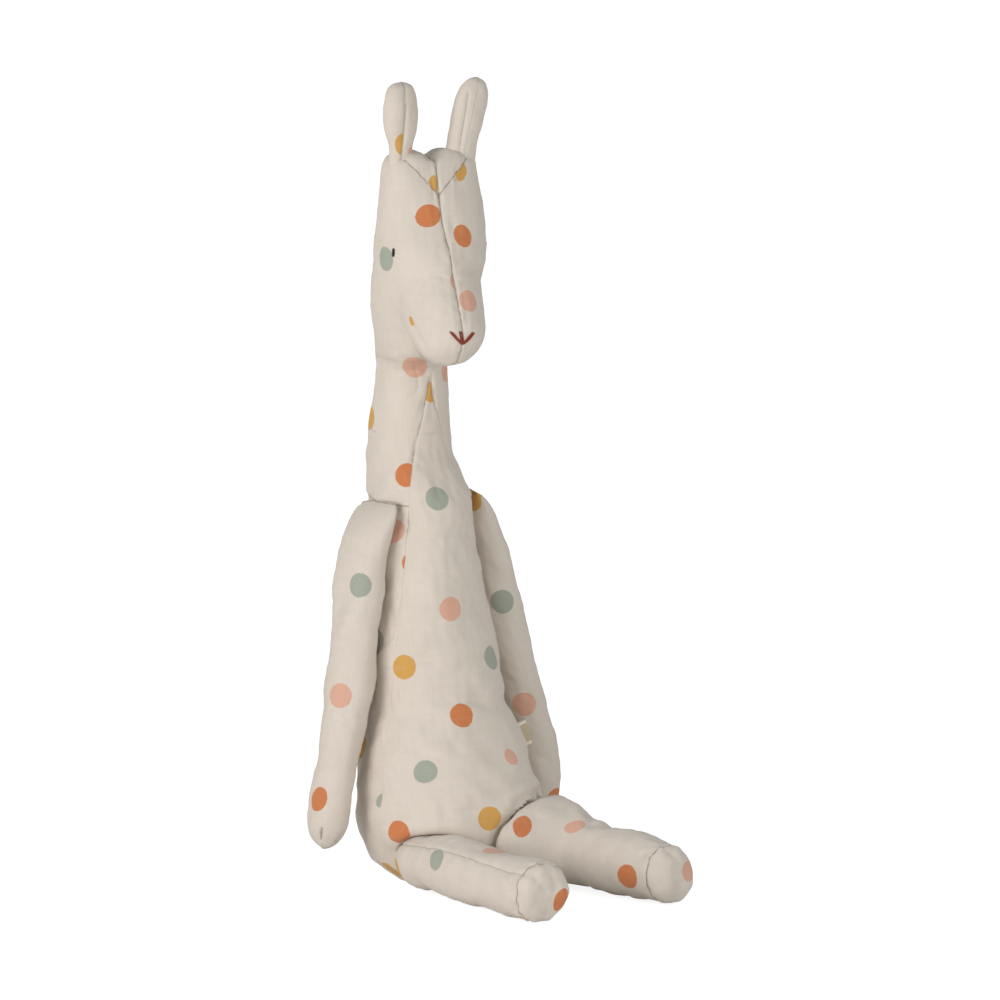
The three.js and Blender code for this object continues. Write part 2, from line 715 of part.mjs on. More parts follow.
// The leg in its own frame: hip at the origin, leg along -Y, its lower side sinking to the floor.
function leg(inset) {
  const [rings, points, domeShare, sunkShare] = [fineness(inset, 10), fineness(inset, 20), 0.9, 0.5];
  const centreAt = (share) => {
    const [radius] = between(legLevels, share);
    const floor = radius - floorFlat - hipHeightAboveFloor;
    return new THREE.Vector3(0, -legLength * share, floor * smooth(Math.min(share / sunkShare, 1)));
  };
  const ring = (centre, radius) => oval(points, centre, sideways, upward, radius, radius, 2.1);
  const rootShares = [0.97, 0.85, 0.65, 0.35];
  const rounded = rootShares.map((back) =>
    ring(new THREE.Vector3(0, hipRadius * back, 0), hipRadius * Math.sqrt(1 - back ** 2)),
  );
  const runOut = [ring(new THREE.Vector3(0, hipRadius + overrun, 0), hipRadius - inset)];
  const shaft = Array.from({ length: rings }, (_, i) => {
    const share = (domeShare * i) / (rings - 1);
    return ring(centreAt(share), between(legLevels, share)[0] - inset);
  });
  const [domeShares, bluntness] = [[0.4, 0.7, 0.88, 0.97], 2.6];
  const dome = domeShares.map((out) => {
    const close = (1 - out ** bluntness) ** (1 / bluntness);
    const centre = centreAt(domeShare);
    centre.y -= (legLength * (1 - domeShare) - inset) * out;
    return ring(centre, (between(legLevels, domeShare)[0] - inset) * close);
  });
  return loft([...(inset > 0 ? runOut : rounded), ...shaft, ...dome]);
}

// Turned to its splay, set at its hip and cut flat where it lies on the floor.
function placedLeg(side, inset) {
  const hip = hipPoint(side);
  const made = solid(leg(inset).rotateZ(legSplay(side)).translate(hip.x, hip.y, hip.z));
  return made.intersect(everything(Math.max(inset, 0), throatHeight));
}

function makeLeg(side) {
  const name = side > 0 ? "left" : "right";
  const cover = placedLeg(side, 0).subtract(placedLeg(side, coverThickness));
  const beyond = (gap) => {
    const span = new THREE.BoxGeometry(hipWidth, hoofLength * 2, hipWidth);
    span.translate(0, -legLength - gap / 2, 0).rotateZ(legSplay(side));
    const hip = hipPoint(side);
    return solid(span.translate(hip.x, hip.y, hip.z));
  };
  const core = placedLeg(side, coverThickness + seamGap);
  const hip = hipPoint(side);
  const lowest = coverThickness + seamGap;
  const rootBall = ball(hip, (hipRadius - lowest) * rootFillShare);
  const limit = solid(
    new THREE.BoxGeometry(hipWidth, legLength * 2, hipWidth)
      .translate(0, -legLength, 0)
      .rotateZ(legSplay(side))
      .translate(hip.x, hip.y, hip.z),
  );
  const stuffing = core.intersect(limit).add(rootBall.intersect(everything(lowest, throatHeight)));
  return [
    shown(`leg_cover_${name}`, cover.subtract(beyond(-seamGap)), linen),
    shown(`hoof_cap_${name}`, cover.intersect(beyond(seamGap)), linen),
    shown(`leg_filling_${name}`, stuffing, filling),
  ];
}

// The tail drops from the back to the floor and curls to the giraffe's left.
function makeTail() {
  const [rings, points, dropShare, curlShares] = [11, 10, 0.55, [0.35, 0.6, 0.8, 1]];
  const sweep = radians(tailCurl);
  const bend = tailLength / (2 * sweep);
  const path = new THREE.CatmullRomCurve3([
    tailPoint.clone(),
    tailPoint.clone().add(new THREE.Vector3(0, tailDiameter, (tailRadius - tailHeight) * dropShare)),
    ...curlShares.map((share) => {
      const angle = sweep * share;
      const aside = bend * (1 - Math.cos(angle)) * 1.5;
      const out = bend * Math.sin(angle) * 0.9 + tailDiameter;
      return new THREE.Vector3(aside, tailPoint.y + out, tailRadius - floorFlat);
    }),
  ]);
  const roundedShare = 0.9;
  const body = Array.from({ length: rings }, (_, i) => {
    const share = i / (rings - 1);
    const tangent = path.getTangentAt(share);
    const across = new THREE.Vector3().crossVectors(tangent, upward).normalize();
    const along = new THREE.Vector3().crossVectors(across, tangent);
    const close = Math.sqrt(1 - Math.max(0, (share - roundedShare) / (1.005 - roundedShare)) ** 2);
    const radius = tailRadius * (tailRootShare + (1 - tailRootShare) * share ** 2) * close;
    return oval(points, path.getPointAt(share), across, along, radius, radius, 2);
  });
  const root = ball(tailPoint, tailRadius * 0.95);
  const tail = solid(loft(body)).add(root).intersect(everything(0, throatHeight));
  return shown("tail", tail, linen);
}

// Where the gusset's side seam lies at a height, on the giraffe's left.
function seamPoint(height) {
  const { halfWidth, halfDepth, back, gusset } = trunkAt(height);
  const angle = radians(gusset);
  return new THREE.Vector3(halfWidth * Math.sin(angle), back - halfDepth * Math.cos(angle), height);
}

// A short folded tape whose two ends meet in the left side seam. It flaps about its sewn edge.
const labelRoot = seamPoint(labelRise).add(new THREE.Vector3(labelTape + seamGap, 0, 0));
function makeLabel() {
  const below = seamPoint(labelRise - labelHeight / 2);
  const above = seamPoint(labelRise + labelHeight / 2);
  const lean = Math.atan2(below.x - above.x, labelHeight);
  const fold = labelTape * 1.5;
  const bend = labelReach - fold;
  const outline = new THREE.Shape();
  outline.moveTo(0, -labelTape);
  outline.lineTo(bend, -fold);
  outline.absarc(bend, 0, fold, -Math.PI / 2, Math.PI / 2, false);
  outline.lineTo(0, labelTape);
  outline.absarc(0, 0, labelTape, Math.PI / 2, (3 * Math.PI) / 2, false);
  const inside = new THREE.Path();
  inside.moveTo(labelTape, 0);
  inside.lineTo(bend, labelTape - fold);
  inside.absarc(bend, 0, fold - labelTape, -Math.PI / 2, Math.PI / 2, false);
  inside.lineTo(labelTape, 0);
  outline.holes.push(inside);
  const settings = { depth: labelHeight, bevelEnabled: false, curveSegments: 5 };
  const folded = new THREE.ExtrudeGeometry(outline, settings);
  folded.translate(0, 0, -labelHeight / 2).rotateY(-lean).translate(labelRoot.x, labelRoot.y, labelRoot.z);
  return shown("side_label", solid(folded), tape);
}

const giraffe = new THREE.Group();
giraffe.add(...makeTrunk(), ...makeNeck());
const head = new THREE.Group();
head.position.set(0, throatBack, throatHeight);
head.rotation.z = -radians(headTurn);
head.add(...makeHead(), makeEar(1), makeEar(-1));
giraffe.add(head);
giraffe.add(...makeArm(1), ...makeArm(-1), ...makeLeg(1), ...makeLeg(-1), makeTail(), makeLabel());

export default giraffe;
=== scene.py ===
# Looks of a stuffed linen giraffe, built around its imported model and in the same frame.
# Shapes are worked out in millimetres and written to the meshes in metres.
import json
import math

import bpy
import numpy as np
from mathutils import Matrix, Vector
from mathutils.bvhtree import BVHTree


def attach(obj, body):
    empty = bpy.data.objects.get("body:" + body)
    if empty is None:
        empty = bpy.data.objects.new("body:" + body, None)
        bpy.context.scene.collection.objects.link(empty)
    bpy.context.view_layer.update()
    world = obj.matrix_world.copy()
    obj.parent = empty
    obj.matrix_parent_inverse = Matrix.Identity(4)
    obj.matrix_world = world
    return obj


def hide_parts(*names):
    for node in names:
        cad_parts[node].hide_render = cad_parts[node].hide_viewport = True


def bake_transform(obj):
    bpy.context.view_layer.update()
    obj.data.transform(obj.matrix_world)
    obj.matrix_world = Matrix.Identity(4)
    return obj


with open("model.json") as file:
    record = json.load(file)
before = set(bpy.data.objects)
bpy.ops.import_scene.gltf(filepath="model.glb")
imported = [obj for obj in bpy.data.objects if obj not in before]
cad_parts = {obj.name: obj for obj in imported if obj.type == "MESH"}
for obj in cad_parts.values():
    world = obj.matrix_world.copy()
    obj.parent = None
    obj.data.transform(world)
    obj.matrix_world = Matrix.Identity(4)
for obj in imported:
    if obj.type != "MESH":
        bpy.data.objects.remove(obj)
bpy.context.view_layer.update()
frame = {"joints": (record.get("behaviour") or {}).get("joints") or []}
joints = {joint["name"]: joint for joint in frame["joints"]}

MM = 0.001
FAR = 90.0
SIDES = {1: "left", -1: "right"}

# The camera looks at the giraffe from its right front, a little from above.
AZIMUTH = math.radians(-34)
ELEVATION = math.radians(10)
DISTANCE = 12.0
PIXELS = 1000
PIXELS_PER_MM = 2.2
TARGET_RIGHT = 22.55
TARGET_UP = 171.05
SENSOR = 36.0
RIGHT = np.array([math.cos(AZIMUTH), math.sin(AZIMUTH), 0.0])
TO_CAMERA = np.array([
    math.sin(AZIMUTH) * math.cos(ELEVATION),
    -math.cos(AZIMUTH) * math.cos(ELEVATION),
    math.sin(ELEVATION),
])
UP = np.cross(TO_CAMERA, RIGHT)
TARGET = RIGHT * TARGET_RIGHT + UP * TARGET_UP
EYE = TARGET + TO_CAMERA * DISTANCE / MM


def ray_of(pixel):
    """The direction from the camera through a pixel of the picture."""
    aside = (pixel[0] - PIXELS / 2) / PIXELS_PER_MM
    above = (PIXELS / 2 - pixel[1]) / PIXELS_PER_MM
    return unit(TARGET + RIGHT * aside + UP * above - EYE)


def unit(v):
    return v / np.maximum(np.linalg.norm(v, axis=-1, keepdims=True), 1e-9)


def hinge(name):
    """Where a joint is, in millimetres."""
    return np.array(joints[name]["pos_m"]) / MM


def smooth(t):
    t = np.clip(t, 0, 1)
    return t * t * (3 - 2 * t)


def bell(offset, spread):
    return np.exp(-((offset / spread) ** 2))


def turned(x, y, angle):
    """Two coordinates, turned anticlockwise."""
    c, s = np.cos(angle), np.sin(angle)
    return c * x - s * y, s * x + c * y


def between(rows, at):
    """A smooth curve through rows, by the first number of each row, that never overshoots a row."""
    rows = np.array(rows, float)
    x, y = rows[:, 0], rows[:, 1:]
    at = np.clip(np.asarray(at, float), x[0], x[-1])
    span = np.diff(x)
    rate = np.diff(y, axis=0) / span[:, None]
    before, after = rate[:-1], rate[1:]
    total = np.where(before + after == 0, 1, before + after)
    inner = np.where(before * after > 0, 2 * before * after / total, 0)
    slope = np.concatenate([rate[:1], inner, rate[-1:]])
    k = np.clip(np.searchsorted(x, at) - 1, 0, len(x) - 2)
    t = ((at - x[k]) / span[k])[..., None]
    run = span[k][..., None]
    return (
        y[k] * (2 * t**3 - 3 * t**2 + 1)
        + slope[k] * run * (t**3 - 2 * t**2 + t)
        + y[k + 1] * (3 * t**2 - 2 * t**3)
        + slope[k + 1] * run * (t**3 - t**2)
    )


def columns_of(rows, at):
    """Each number of the rows by itself, as a smooth curve."""
    return np.moveaxis(between(rows, at), -1, 0)


def power(value, squareness):
    return np.sign(value) * np.abs(value) ** (2 / squareness)


def angles_round(columns):
    return 2 * math.pi * np.arange(columns) / columns


def ripple(points, size, seed, terms=14):
    """Soft random waves about as long as size, with a spread of one, the same on every run."""
    draw = np.random.default_rng(seed)
    ways = unit(draw.normal(size=(terms, 3)))
    rates = 2 * math.pi / size * draw.uniform(0.6, 1.5, terms)
    phases = draw.uniform(0, 2 * math.pi, terms)
    flat = points.reshape(-1, 3)
    made = np.sin(flat @ (ways * rates[:, None]).T + phases).sum(-1) / math.sqrt(terms / 2)
    return made.reshape(points.shape[:-1])


def outward(points):
    """Unit normals of a grid of rings, pointing out of it."""
    along = np.gradient(points, axis=0)
    around = np.roll(points, -1, 1) - np.roll(points, 1, 1)
    normal = unit(np.cross(around, along))
    spokes = points - points.mean(1, keepdims=True)
    return normal if (spokes * normal).sum() > 0 else -normal


def quads_of(rings, columns):
    index = np.arange(rings * columns).reshape(rings, columns)
    low, high = index[:-1], index[1:]
    return np.stack([low, np.roll(low, -1, 1), np.roll(high, -1, 1), high], -1).reshape(-1, 4)


def running_length(points, axis=0):
    """Length from the start of a line to each of its points."""
    steps = np.linalg.norm(np.diff(points, axis=axis), axis=-1)
    start = np.zeros_like(np.take(steps, [0], axis))
    return np.concatenate([start, np.cumsum(steps, axis)], axis)


def distance_to_path(points, path):
    """Distance of every point to a line through the points of a path, and how far along the line that is."""
    best = np.full(points.shape[:-1], 1e9)
    share = np.zeros(points.shape[:-1])
    lengths = np.linalg.norm(np.diff(path, axis=0), axis=-1)
    travelled = 0.0
    for start, end, length in zip(path[:-1], path[1:], lengths):
        way = end - start
        t = np.clip((points - start) @ way / max(way @ way, 1e-9), 0, 1)
        away = np.linalg.norm(points - start - t[..., None] * way, axis=-1)
        share = np.where(away < best, (travelled + t * length) / lengths.sum(), share)
        best = np.minimum(best, away)
        travelled += length
    return best, share


def srgb(red, green, blue):
    """A colour as it looks, 0 to 255, in the linear values that a shader takes."""
    def linear(value):
        value /= 255
        return value / 12.92 if value <= 0.04045 else ((value + 0.055) / 1.055) ** 2.4
    return (linear(red), linear(green), linear(blue), 1.0)


LINEN = srgb(220, 210, 199)
LINEN_DARK = srgb(205, 193, 178)
# Painted shade for the creases of the seams and for the arm's slit.
SEAM_SHADE = srgb(128, 114, 96)
INK_COLOURS = {
    "orange": srgb(207, 127, 78),
    "mustard": srgb(213, 162, 86),
    "sage": srgb(166, 170, 156),
    "pink": srgb(221, 172, 149),
}
INKS = tuple(INK_COLOURS)
DOT = 5.6
DOT_MARGIN = 1.2
ROUND = (1.0, 1.0, 0.0)


class Skin:
    """A sewn cover as a grid of rings and columns: its points, its seams, its cloth and its printed dots.

    seams holds up to three signed distances to seam lines, and strength how clearly each line shows, as a
    crease and as painted shade along the line."""

    def __init__(self, name, points):
        self.name = name
        self.points = points
        shape = points.shape[:2]
        self.seams = np.full((*shape, 3), FAR)
        self.strength = np.zeros((*shape, 3))
        self.inks = {ink: np.full(shape, -FAR) for ink in INKS}
        self.panels = {"any": np.full(shape, FAR)}
        self.dots = []
        # Painted shade, drawn in the seam shade colour.
        self.shade = np.zeros(shape)
        self.cloth = None
        self.tree = None

    def push(self, amount):
        """Moves the surface out by an amount at each point."""
        self.points = self.points + outward(self.points) * amount[..., None]
        self.tree = None

    def seam(
        self, slot, signed, strength=1.0, depth=0.45, width=0.9, pull=0.45, reach=4.0, pucker=0.2, seed=None
    ):
        """A sewn line: a sharp crease, the cloth drawn in towards it, and small puckers across it; the
        material also paints shade along it.
        """
        self.seams[..., slot] = signed
        self.strength[..., slot] = strength
        away = np.abs(signed)
        fading = np.exp(-away / reach)
        waves = pucker * ripple(self.points, 5.5, 40 + slot if seed is None else seed) * fading
        self.push((-depth * bell(away, width) - pull * fading + waves) * np.clip(strength * 1.5, 0, 1))

    def slack(self, seed, tall=0.55, middle=0.24, fine=0.07, mask=1.0):
        """Uneven filling and soft wrinkles."""
        p = self.points
        creases = bell(ripple(p, 34, seed + 3), 0.22) * np.clip(ripple(p, 60, seed + 4), 0, 1)
        bumps = tall * ripple(p, 42, seed) + middle * ripple(p, 17, seed + 1) + fine * ripple(p, 6, seed + 2)
        self.push((bumps - 0.35 * creases) * mask)

    def part_panel(self, name, inside, x):
        """Adds a panel's right and left halves."""
        self.panels[name + "right"] = np.minimum(inside, -x)
        self.panels[name + "left"] = np.minimum(inside, x)

    def rest_on_floor(self):
        self.points[..., 2] = np.maximum(self.points[..., 2], 0)
        self.tree = None

    def hit(self, pixel):
        """The point of this cover that the camera sees at a pixel, or the nearest one beside the ray."""
        flat = self.points.reshape(-1, 3)
        if self.tree is None:
            self.tree = BVHTree.FromPolygons(flat.tolist(), quads_of(*self.points.shape[:2]).tolist())
        ray = ray_of(pixel)
        found = self.tree.ray_cast(Vector(EYE), Vector(ray))[0]
        if found is None:
            along = (flat - EYE) @ ray
            aside = np.linalg.norm(flat - EYE - along[:, None] * ray, axis=-1)
            front = along < np.median(along) + 60
            found = flat[np.argmin(np.where(front, aside, 1e9))]
        return np.array(found)

    def fold(self, pixels, depth, width, lift=0.0, taper=0.35):
        """A crease along a line of pixels that fades at both ends, with cloth standing up beside it."""
        path = np.array([self.hit(pixel) for pixel in pixels])
        away, share = distance_to_path(self.points, path)
        beside = lift * bell(away - 2.2 * width, 1.3 * width)
        self.push((beside - depth * bell(away, width)) * smooth(share / taper) * smooth((1 - share) / taper))

    def dot(self, ink, pixel, radius=DOT, panel="any", oval=ROUND, steep=1.0):
        """A printed dot where the camera sees this pixel. oval is its width, height and tilt as seen, and a
        low steep lets it run on over cloth that turns away."""
        self.dots.append((ink, self.hit(pixel), radius, panel, (*oval, steep)))

    def mark(self, folds, dots):
        """All folds of a table, then all dots of a table."""
        for fold in folds:
            self.fold(*fold)
        for dot in dots:
            self.dot(*dot)

    def scatter(self, seed, spacing, radius=DOT, tries=700, lowest=-FAR, highest=1000.0):
        """The same print on what the camera doesn't see, about as dense as on what it does."""
        flat = self.points.reshape(-1, 3)
        facing = (outward(self.points).reshape(-1, 3) @ TO_CAMERA) > 0.0
        seen = flat[facing][::3]
        draw = np.random.default_rng(seed)
        for k in draw.permutation(len(flat))[:tries]:
            centre = flat[k]
            if not lowest < centre[2] < highest:
                continue
            if np.min(np.linalg.norm(seen - centre, axis=-1)) < radius + DOT_MARGIN:
                continue
            if any(np.linalg.norm(centre - dot[1]) < spacing for dot in self.dots):
                continue
            near = [name for name, inside in self.panels.items() if inside.flat[k] > 0 and name != "any"]
            ink = INKS[draw.integers(len(INKS))]
            self.dots.append((ink, centre, radius, near[0] if near else "any", (*ROUND, 1.0)))

    def print_dots(self):
        for ink, centre, radius, panel, (wide, tall, tilt, steep) in self.dots:
            c, s = math.cos(math.radians(tilt)), math.sin(math.radians(tilt))
            offset = self.points - centre
            a, b, depth = offset @ (c * RIGHT + s * UP), offset @ (c * UP - s * RIGHT), offset @ TO_CAMERA
            inside = radius - np.sqrt((a / wide) ** 2 + (b / tall) ** 2 + (steep * depth) ** 2)
            inside = np.minimum(inside, self.panels[panel])
            self.inks[ink] = np.maximum(self.inks[ink], inside)

    def build(self, material):
        """The closed mesh with its attributes."""
        rings, columns = self.points.shape[:2]
        self.print_dots()

        def flat(grid):
            ends = [grid[end].mean(0, keepdims=True) for end in (0, -1)]
            return np.concatenate([grid.reshape(rings * columns, *grid.shape[2:]), *ends])

        vertices = flat(self.points)
        faces = quads_of(rings, columns).tolist()
        total = rings * columns
        for i in range(columns):
            following = (i + 1) % columns
            faces.append([total, following, i])
            faces.append([total + 1, total - columns + i, total - columns + following])
        mesh = bpy.data.meshes.new(self.name)
        mesh.from_pydata((vertices * MM).tolist(), [], faces)
        corners = vertices[np.array([face[:3] for face in faces])]
        volume = np.einsum("ij,ij->i", corners[:, 0], np.cross(corners[:, 1], corners[:, 2])).sum()
        if volume < 0:
            mesh.flip_normals()
        if self.cloth is None:
            step_around = np.linalg.norm(np.roll(self.points, -1, 1) - self.points, axis=-1)
            around = np.cumsum(step_around, 1) - step_around
            self.cloth = np.stack([around, running_length(self.points), np.zeros_like(around)], -1)
        put_attribute(mesh, "rest", vertices * MM)
        put_attribute(mesh, "cloth", flat(self.cloth) * MM)
        put_attribute(mesh, "seams", flat(self.seams))
        put_attribute(mesh, "strength", flat(self.strength))
        put_attribute(mesh, "shade", flat(self.shade))
        for ink in INKS:
            put_attribute(mesh, "ink_" + ink, flat(self.inks[ink]))
        return add_object(mesh, material)


def put_attribute(mesh, name, values):
    """Keeps a number, or three of them, at each point of a mesh."""
    kind, field = ("FLOAT", "value") if values.ndim == 1 else ("FLOAT_VECTOR", "vector")
    attribute = mesh.attributes.new(name, kind, "POINT")
    attribute.data.foreach_set(field, np.ascontiguousarray(values, np.float32).ravel())


def link_object(name, data):
    made = bpy.data.objects.new(name, data)
    bpy.context.scene.collection.objects.link(made)
    return made


def add_object(mesh, material):
    mesh.materials.append(material)
    mesh.shade_smooth()
    return link_object(mesh.name, mesh)


# Materials that read the covers' attributes.

class Value:
    """What a shader node gives out. Sums, differences and products of values add maths nodes."""

    def __init__(self, nodes, socket):
        self.nodes = nodes
        self.socket = socket

    def __add__(self, other):
        return self.nodes.math("ADD", self, other)

    def __sub__(self, other):
        return self.nodes.math("SUBTRACT", self, other)

    def __mul__(self, other):
        return self.nodes.math("MULTIPLY", self, other)

    def __abs__(self):
        return self.nodes.math("ABSOLUTE", self)

    def beside(self, output):
        """Another output of the same node."""
        return Value(self.nodes, self.socket.node.outputs[output])


class Nodes:
    """Short calls for the nodes of a material or a world."""

    def __init__(self, owner):
        self.owner = owner
        owner.use_nodes = True
        self.tree = owner.node_tree

    def put(self, value, socket):
        if isinstance(value, Value):
            self.tree.links.new(value.socket, socket)
        else:
            socket.default_value = value

    def add(self, kind, inputs=(), output=0, **settings):
        """Adds a node with its settings and its inputs, a list or by place, and gives one of its outputs."""
        node = self.tree.nodes.new("ShaderNode" + kind)
        for name, setting in settings.items():
            setattr(node, name, setting)
        for place, value in inputs.items() if isinstance(inputs, dict) else enumerate(inputs):
            self.put(value, node.inputs[place])
        return Value(self, node.outputs[output]) if node.outputs else None

    def attribute(self, name, output="Vector"):
        return self.add("Attribute", output=output, attribute_name=name)

    def parts(self, vector):
        first = self.add("SeparateXYZ", [vector])
        return first, first.beside(1), first.beside(2)

    def math(self, operation, *values):
        return self.add("Math", values, operation=operation)

    def scaled(self, vector, scale):
        return self.add("VectorMath", (vector, scale), operation="MULTIPLY")

    def noise(self, vector, scale, detail=2.0):
        inputs = {"Vector": vector, "Scale": scale, "Detail": detail, "Roughness": 0.5}
        return self.add("TexNoise", inputs, output="Fac")

    def span(self, value, low, high, to_low=0.0, to_high=1.0):
        return self.add("MapRange", (value, low, high, to_low, to_high), interpolation_type="SMOOTHSTEP")

    def mix(self, share, first, second):
        return self.add("Mix", {0: share, 6: first, 7: second}, output=2, data_type="RGBA")

    def surface(self, colour, relief, strength, depth, settings):
        """Gives the shader its colour, its relief and its plain settings, and returns the material."""
        bump = self.add("Bump", {"Strength": strength, "Distance": depth, "Height": relief})
        shader = self.tree.nodes["Principled BSDF"]
        for name, value in {"Base Color": colour, "Normal": bump, **settings}.items():
            self.put(value, shader.inputs[name])
        return self.owner


THREAD = 0.00062
TAPE_THREAD = 0.0004
WARP = (1 / 0.0011, 1 / 0.016, 1.0)
WEFT = (1 / 0.014, 1 / 0.0010, 1.0)


def woven(nodes, pitch):
    """Height of a plain weave, 0 to 1, and the slub of its yarns, from the cloth attribute."""
    cloth = nodes.attribute("cloth")
    rest = nodes.attribute("rest")
    around, up, _ = nodes.parts(cloth)
    waver = nodes.noise(rest, 260) * (pitch * 0.7)
    across, along = (nodes.math("SINE", (way + waver) * (2 * math.pi / pitch)) for way in (around, up))
    warp, weft = (nodes.noise(nodes.scaled(cloth, scale), 1.0, 3.0) for scale in (WARP, WEFT))
    return across * along * 0.5 + 0.5, (warp + weft) * 0.5, rest


def printed_linen():
    nodes = Nodes(bpy.data.materials.new("printed_linen"))
    height, slub, rest = woven(nodes, THREAD)
    yarn = nodes.span(slub, 0.36, 0.64)
    mottled = nodes.math("MULTIPLY_ADD", nodes.noise(rest, 26, 3.0), 0.42, 0.19)
    tone = nodes.math("MULTIPLY_ADD", yarn, 0.22, mottled)
    colour = nodes.mix(tone, LINEN_DARK, LINEN)
    ragged = (nodes.noise(rest, 900, 1.0) - 0.5) * 0.5
    for ink in INKS:
        inside = nodes.span(nodes.attribute("ink_" + ink, "Fac") + ragged, -0.16, 0.16)
        worn = inside * nodes.span(yarn, -0.3, 0.45, 0.82, 1.0)
        deep = (*(0.86 * channel for channel in INK_COLOURS[ink][:3]), 1.0)
        colour = nodes.mix(worn, colour, nodes.mix(tone, deep, INK_COLOURS[ink]))
    # Painted shade along the seam lines, as in their creases, broken up by noise.
    pairs = zip(nodes.parts(nodes.attribute("seams")), nodes.parts(nodes.attribute("strength")))
    lines = [nodes.span(abs(away), 0.12, 0.5, 1.0, 0.0) * strength for away, strength in pairs]
    line = nodes.math("MAXIMUM", nodes.math("MAXIMUM", lines[0], lines[1]), lines[2])
    broken = nodes.span(nodes.noise(rest, 420, 1.0), 0.3, 0.55, 0.45, 1.0)
    colour = nodes.mix(line * broken, colour, SEAM_SHADE)
    # Painted shade along the arm's slit, from the shade attribute.
    colour = nodes.mix(nodes.attribute("shade", "Fac"), colour, SEAM_SHADE)
    settings = {"Roughness": 0.93, "Specular IOR Level": 0.25, "Sheen Weight": 0.12, "Sheen Roughness": 0.5}
    return nodes.surface(colour, height + slub * 0.9, 0.55, 0.00022, settings)


def thread_material(name, colour, dark):
    nodes = Nodes(bpy.data.materials.new(name))
    around, up, _ = nodes.parts(nodes.attribute("cloth"))
    ply = nodes.math("SINE", (around + up * 1.4) * (2 * math.pi / 0.0009))
    # Darker in the grooves between the plies as painted shade, with random tone from noise.
    tone = ply * 0.35 + nodes.noise(nodes.attribute("rest"), 1500)
    settings = {"Roughness": 0.6, "Sheen Weight": 0.1}
    return nodes.surface(nodes.mix(tone, dark, colour), ply, 0.7, 0.0001, settings)


def tape_material():
    nodes = Nodes(bpy.data.materials.new("label_tape"))
    height, slub, _ = woven(nodes, TAPE_THREAD)
    yarn = nodes.span(slub, 0.3, 0.7)
    # Pale along the two long edges, as woven edges; the darker brown middle is partly the tape's own tan and
    # partly painted shade of its face.
    edge = nodes.span(abs(nodes.parts(nodes.attribute("cloth"))[1]), 0.0040, 0.0048)
    middle = nodes.mix(yarn, srgb(176, 158, 130), srgb(198, 182, 154))
    border = nodes.mix(yarn, srgb(222, 210, 188), srgb(238, 230, 212))
    return nodes.surface(nodes.mix(edge, middle, border), height, 0.5, 0.0001, {"Roughness": 0.85})


linen = printed_linen()
rust_thread = thread_material("rust_thread", srgb(168, 62, 34), srgb(104, 30, 16))
black_thread = thread_material("black_thread", srgb(36, 31, 28), srgb(12, 10, 9))
tape = tape_material()

# Trunk: height, half width, half depth, how far back, and the half angle of the front gusset in degrees.
TRUNK = [
    [0, 23.5, 23.5, 0, 86], [9, 34.9, 34.9, 0, 86], [33, 42, 42, 0, 84], [78, 33, 33, 14, 72],
    [124, 27, 28, 20.5, 60], [166, 21.5, 26, 25.5, 52], [197, 18.75, 19.5, 33.8, 24],
    [225, 16.4, 15.6, 31.6, 2], [232, 16, 15.4, 31.4, 0.5],
]
TRUNK_SQUARE = 2.2
LIMB_SQUARE = 2.1
# Heights where the covers of torso and head meet, and where the shoulder seam runs.
JOIN = 207.0
SHOULDER = 171.0


def trunk_at(phi, z):
    """A point of the trunk at an angle from the front, towards the giraffe's left, and a height."""
    wide, deep, back, _ = columns_of(TRUNK, z)
    x = wide * power(np.sin(phi), TRUNK_SQUARE)
    y = back - deep * power(np.cos(phi), TRUNK_SQUARE)
    return np.stack([x, y, np.broadcast_to(z, x.shape)], -1)


CROWDING = 0.55


def crowded(count):
    """Steps from 0 to 1 that are closer together at both ends."""
    t = np.arange(count) / count
    return t - CROWDING * np.sin(2 * math.pi * t) / (2 * math.pi)


def signed_gusset(points, z):
    """Distance to the nearer side seam of the front gusset, positive on the gusset."""
    wide, deep, back, half = columns_of(TRUNK, z)
    left, right = (trunk_at(side * np.radians(half), z) for side in SIDES)
    near = np.minimum(np.linalg.norm(points - left, axis=-1), np.linalg.norm(points - right, axis=-1))
    angle, edge = (np.arctan2(np.abs(p[..., 0]) / wide, -(p[..., 1] - back) / deep) for p in (points, left))
    return np.where(angle < edge, near, -near)


def gusset_strength(points):
    """How clearly the front gusset's side seams show: less low down, and little on the giraffe's left."""
    left = smooth(points[..., 0] / 2) * smooth((216 - points[..., 2]) / 8)
    return (0.15 + 0.45 * smooth((points[..., 2] - 70) / 100)) * (1 - 0.65 * left)


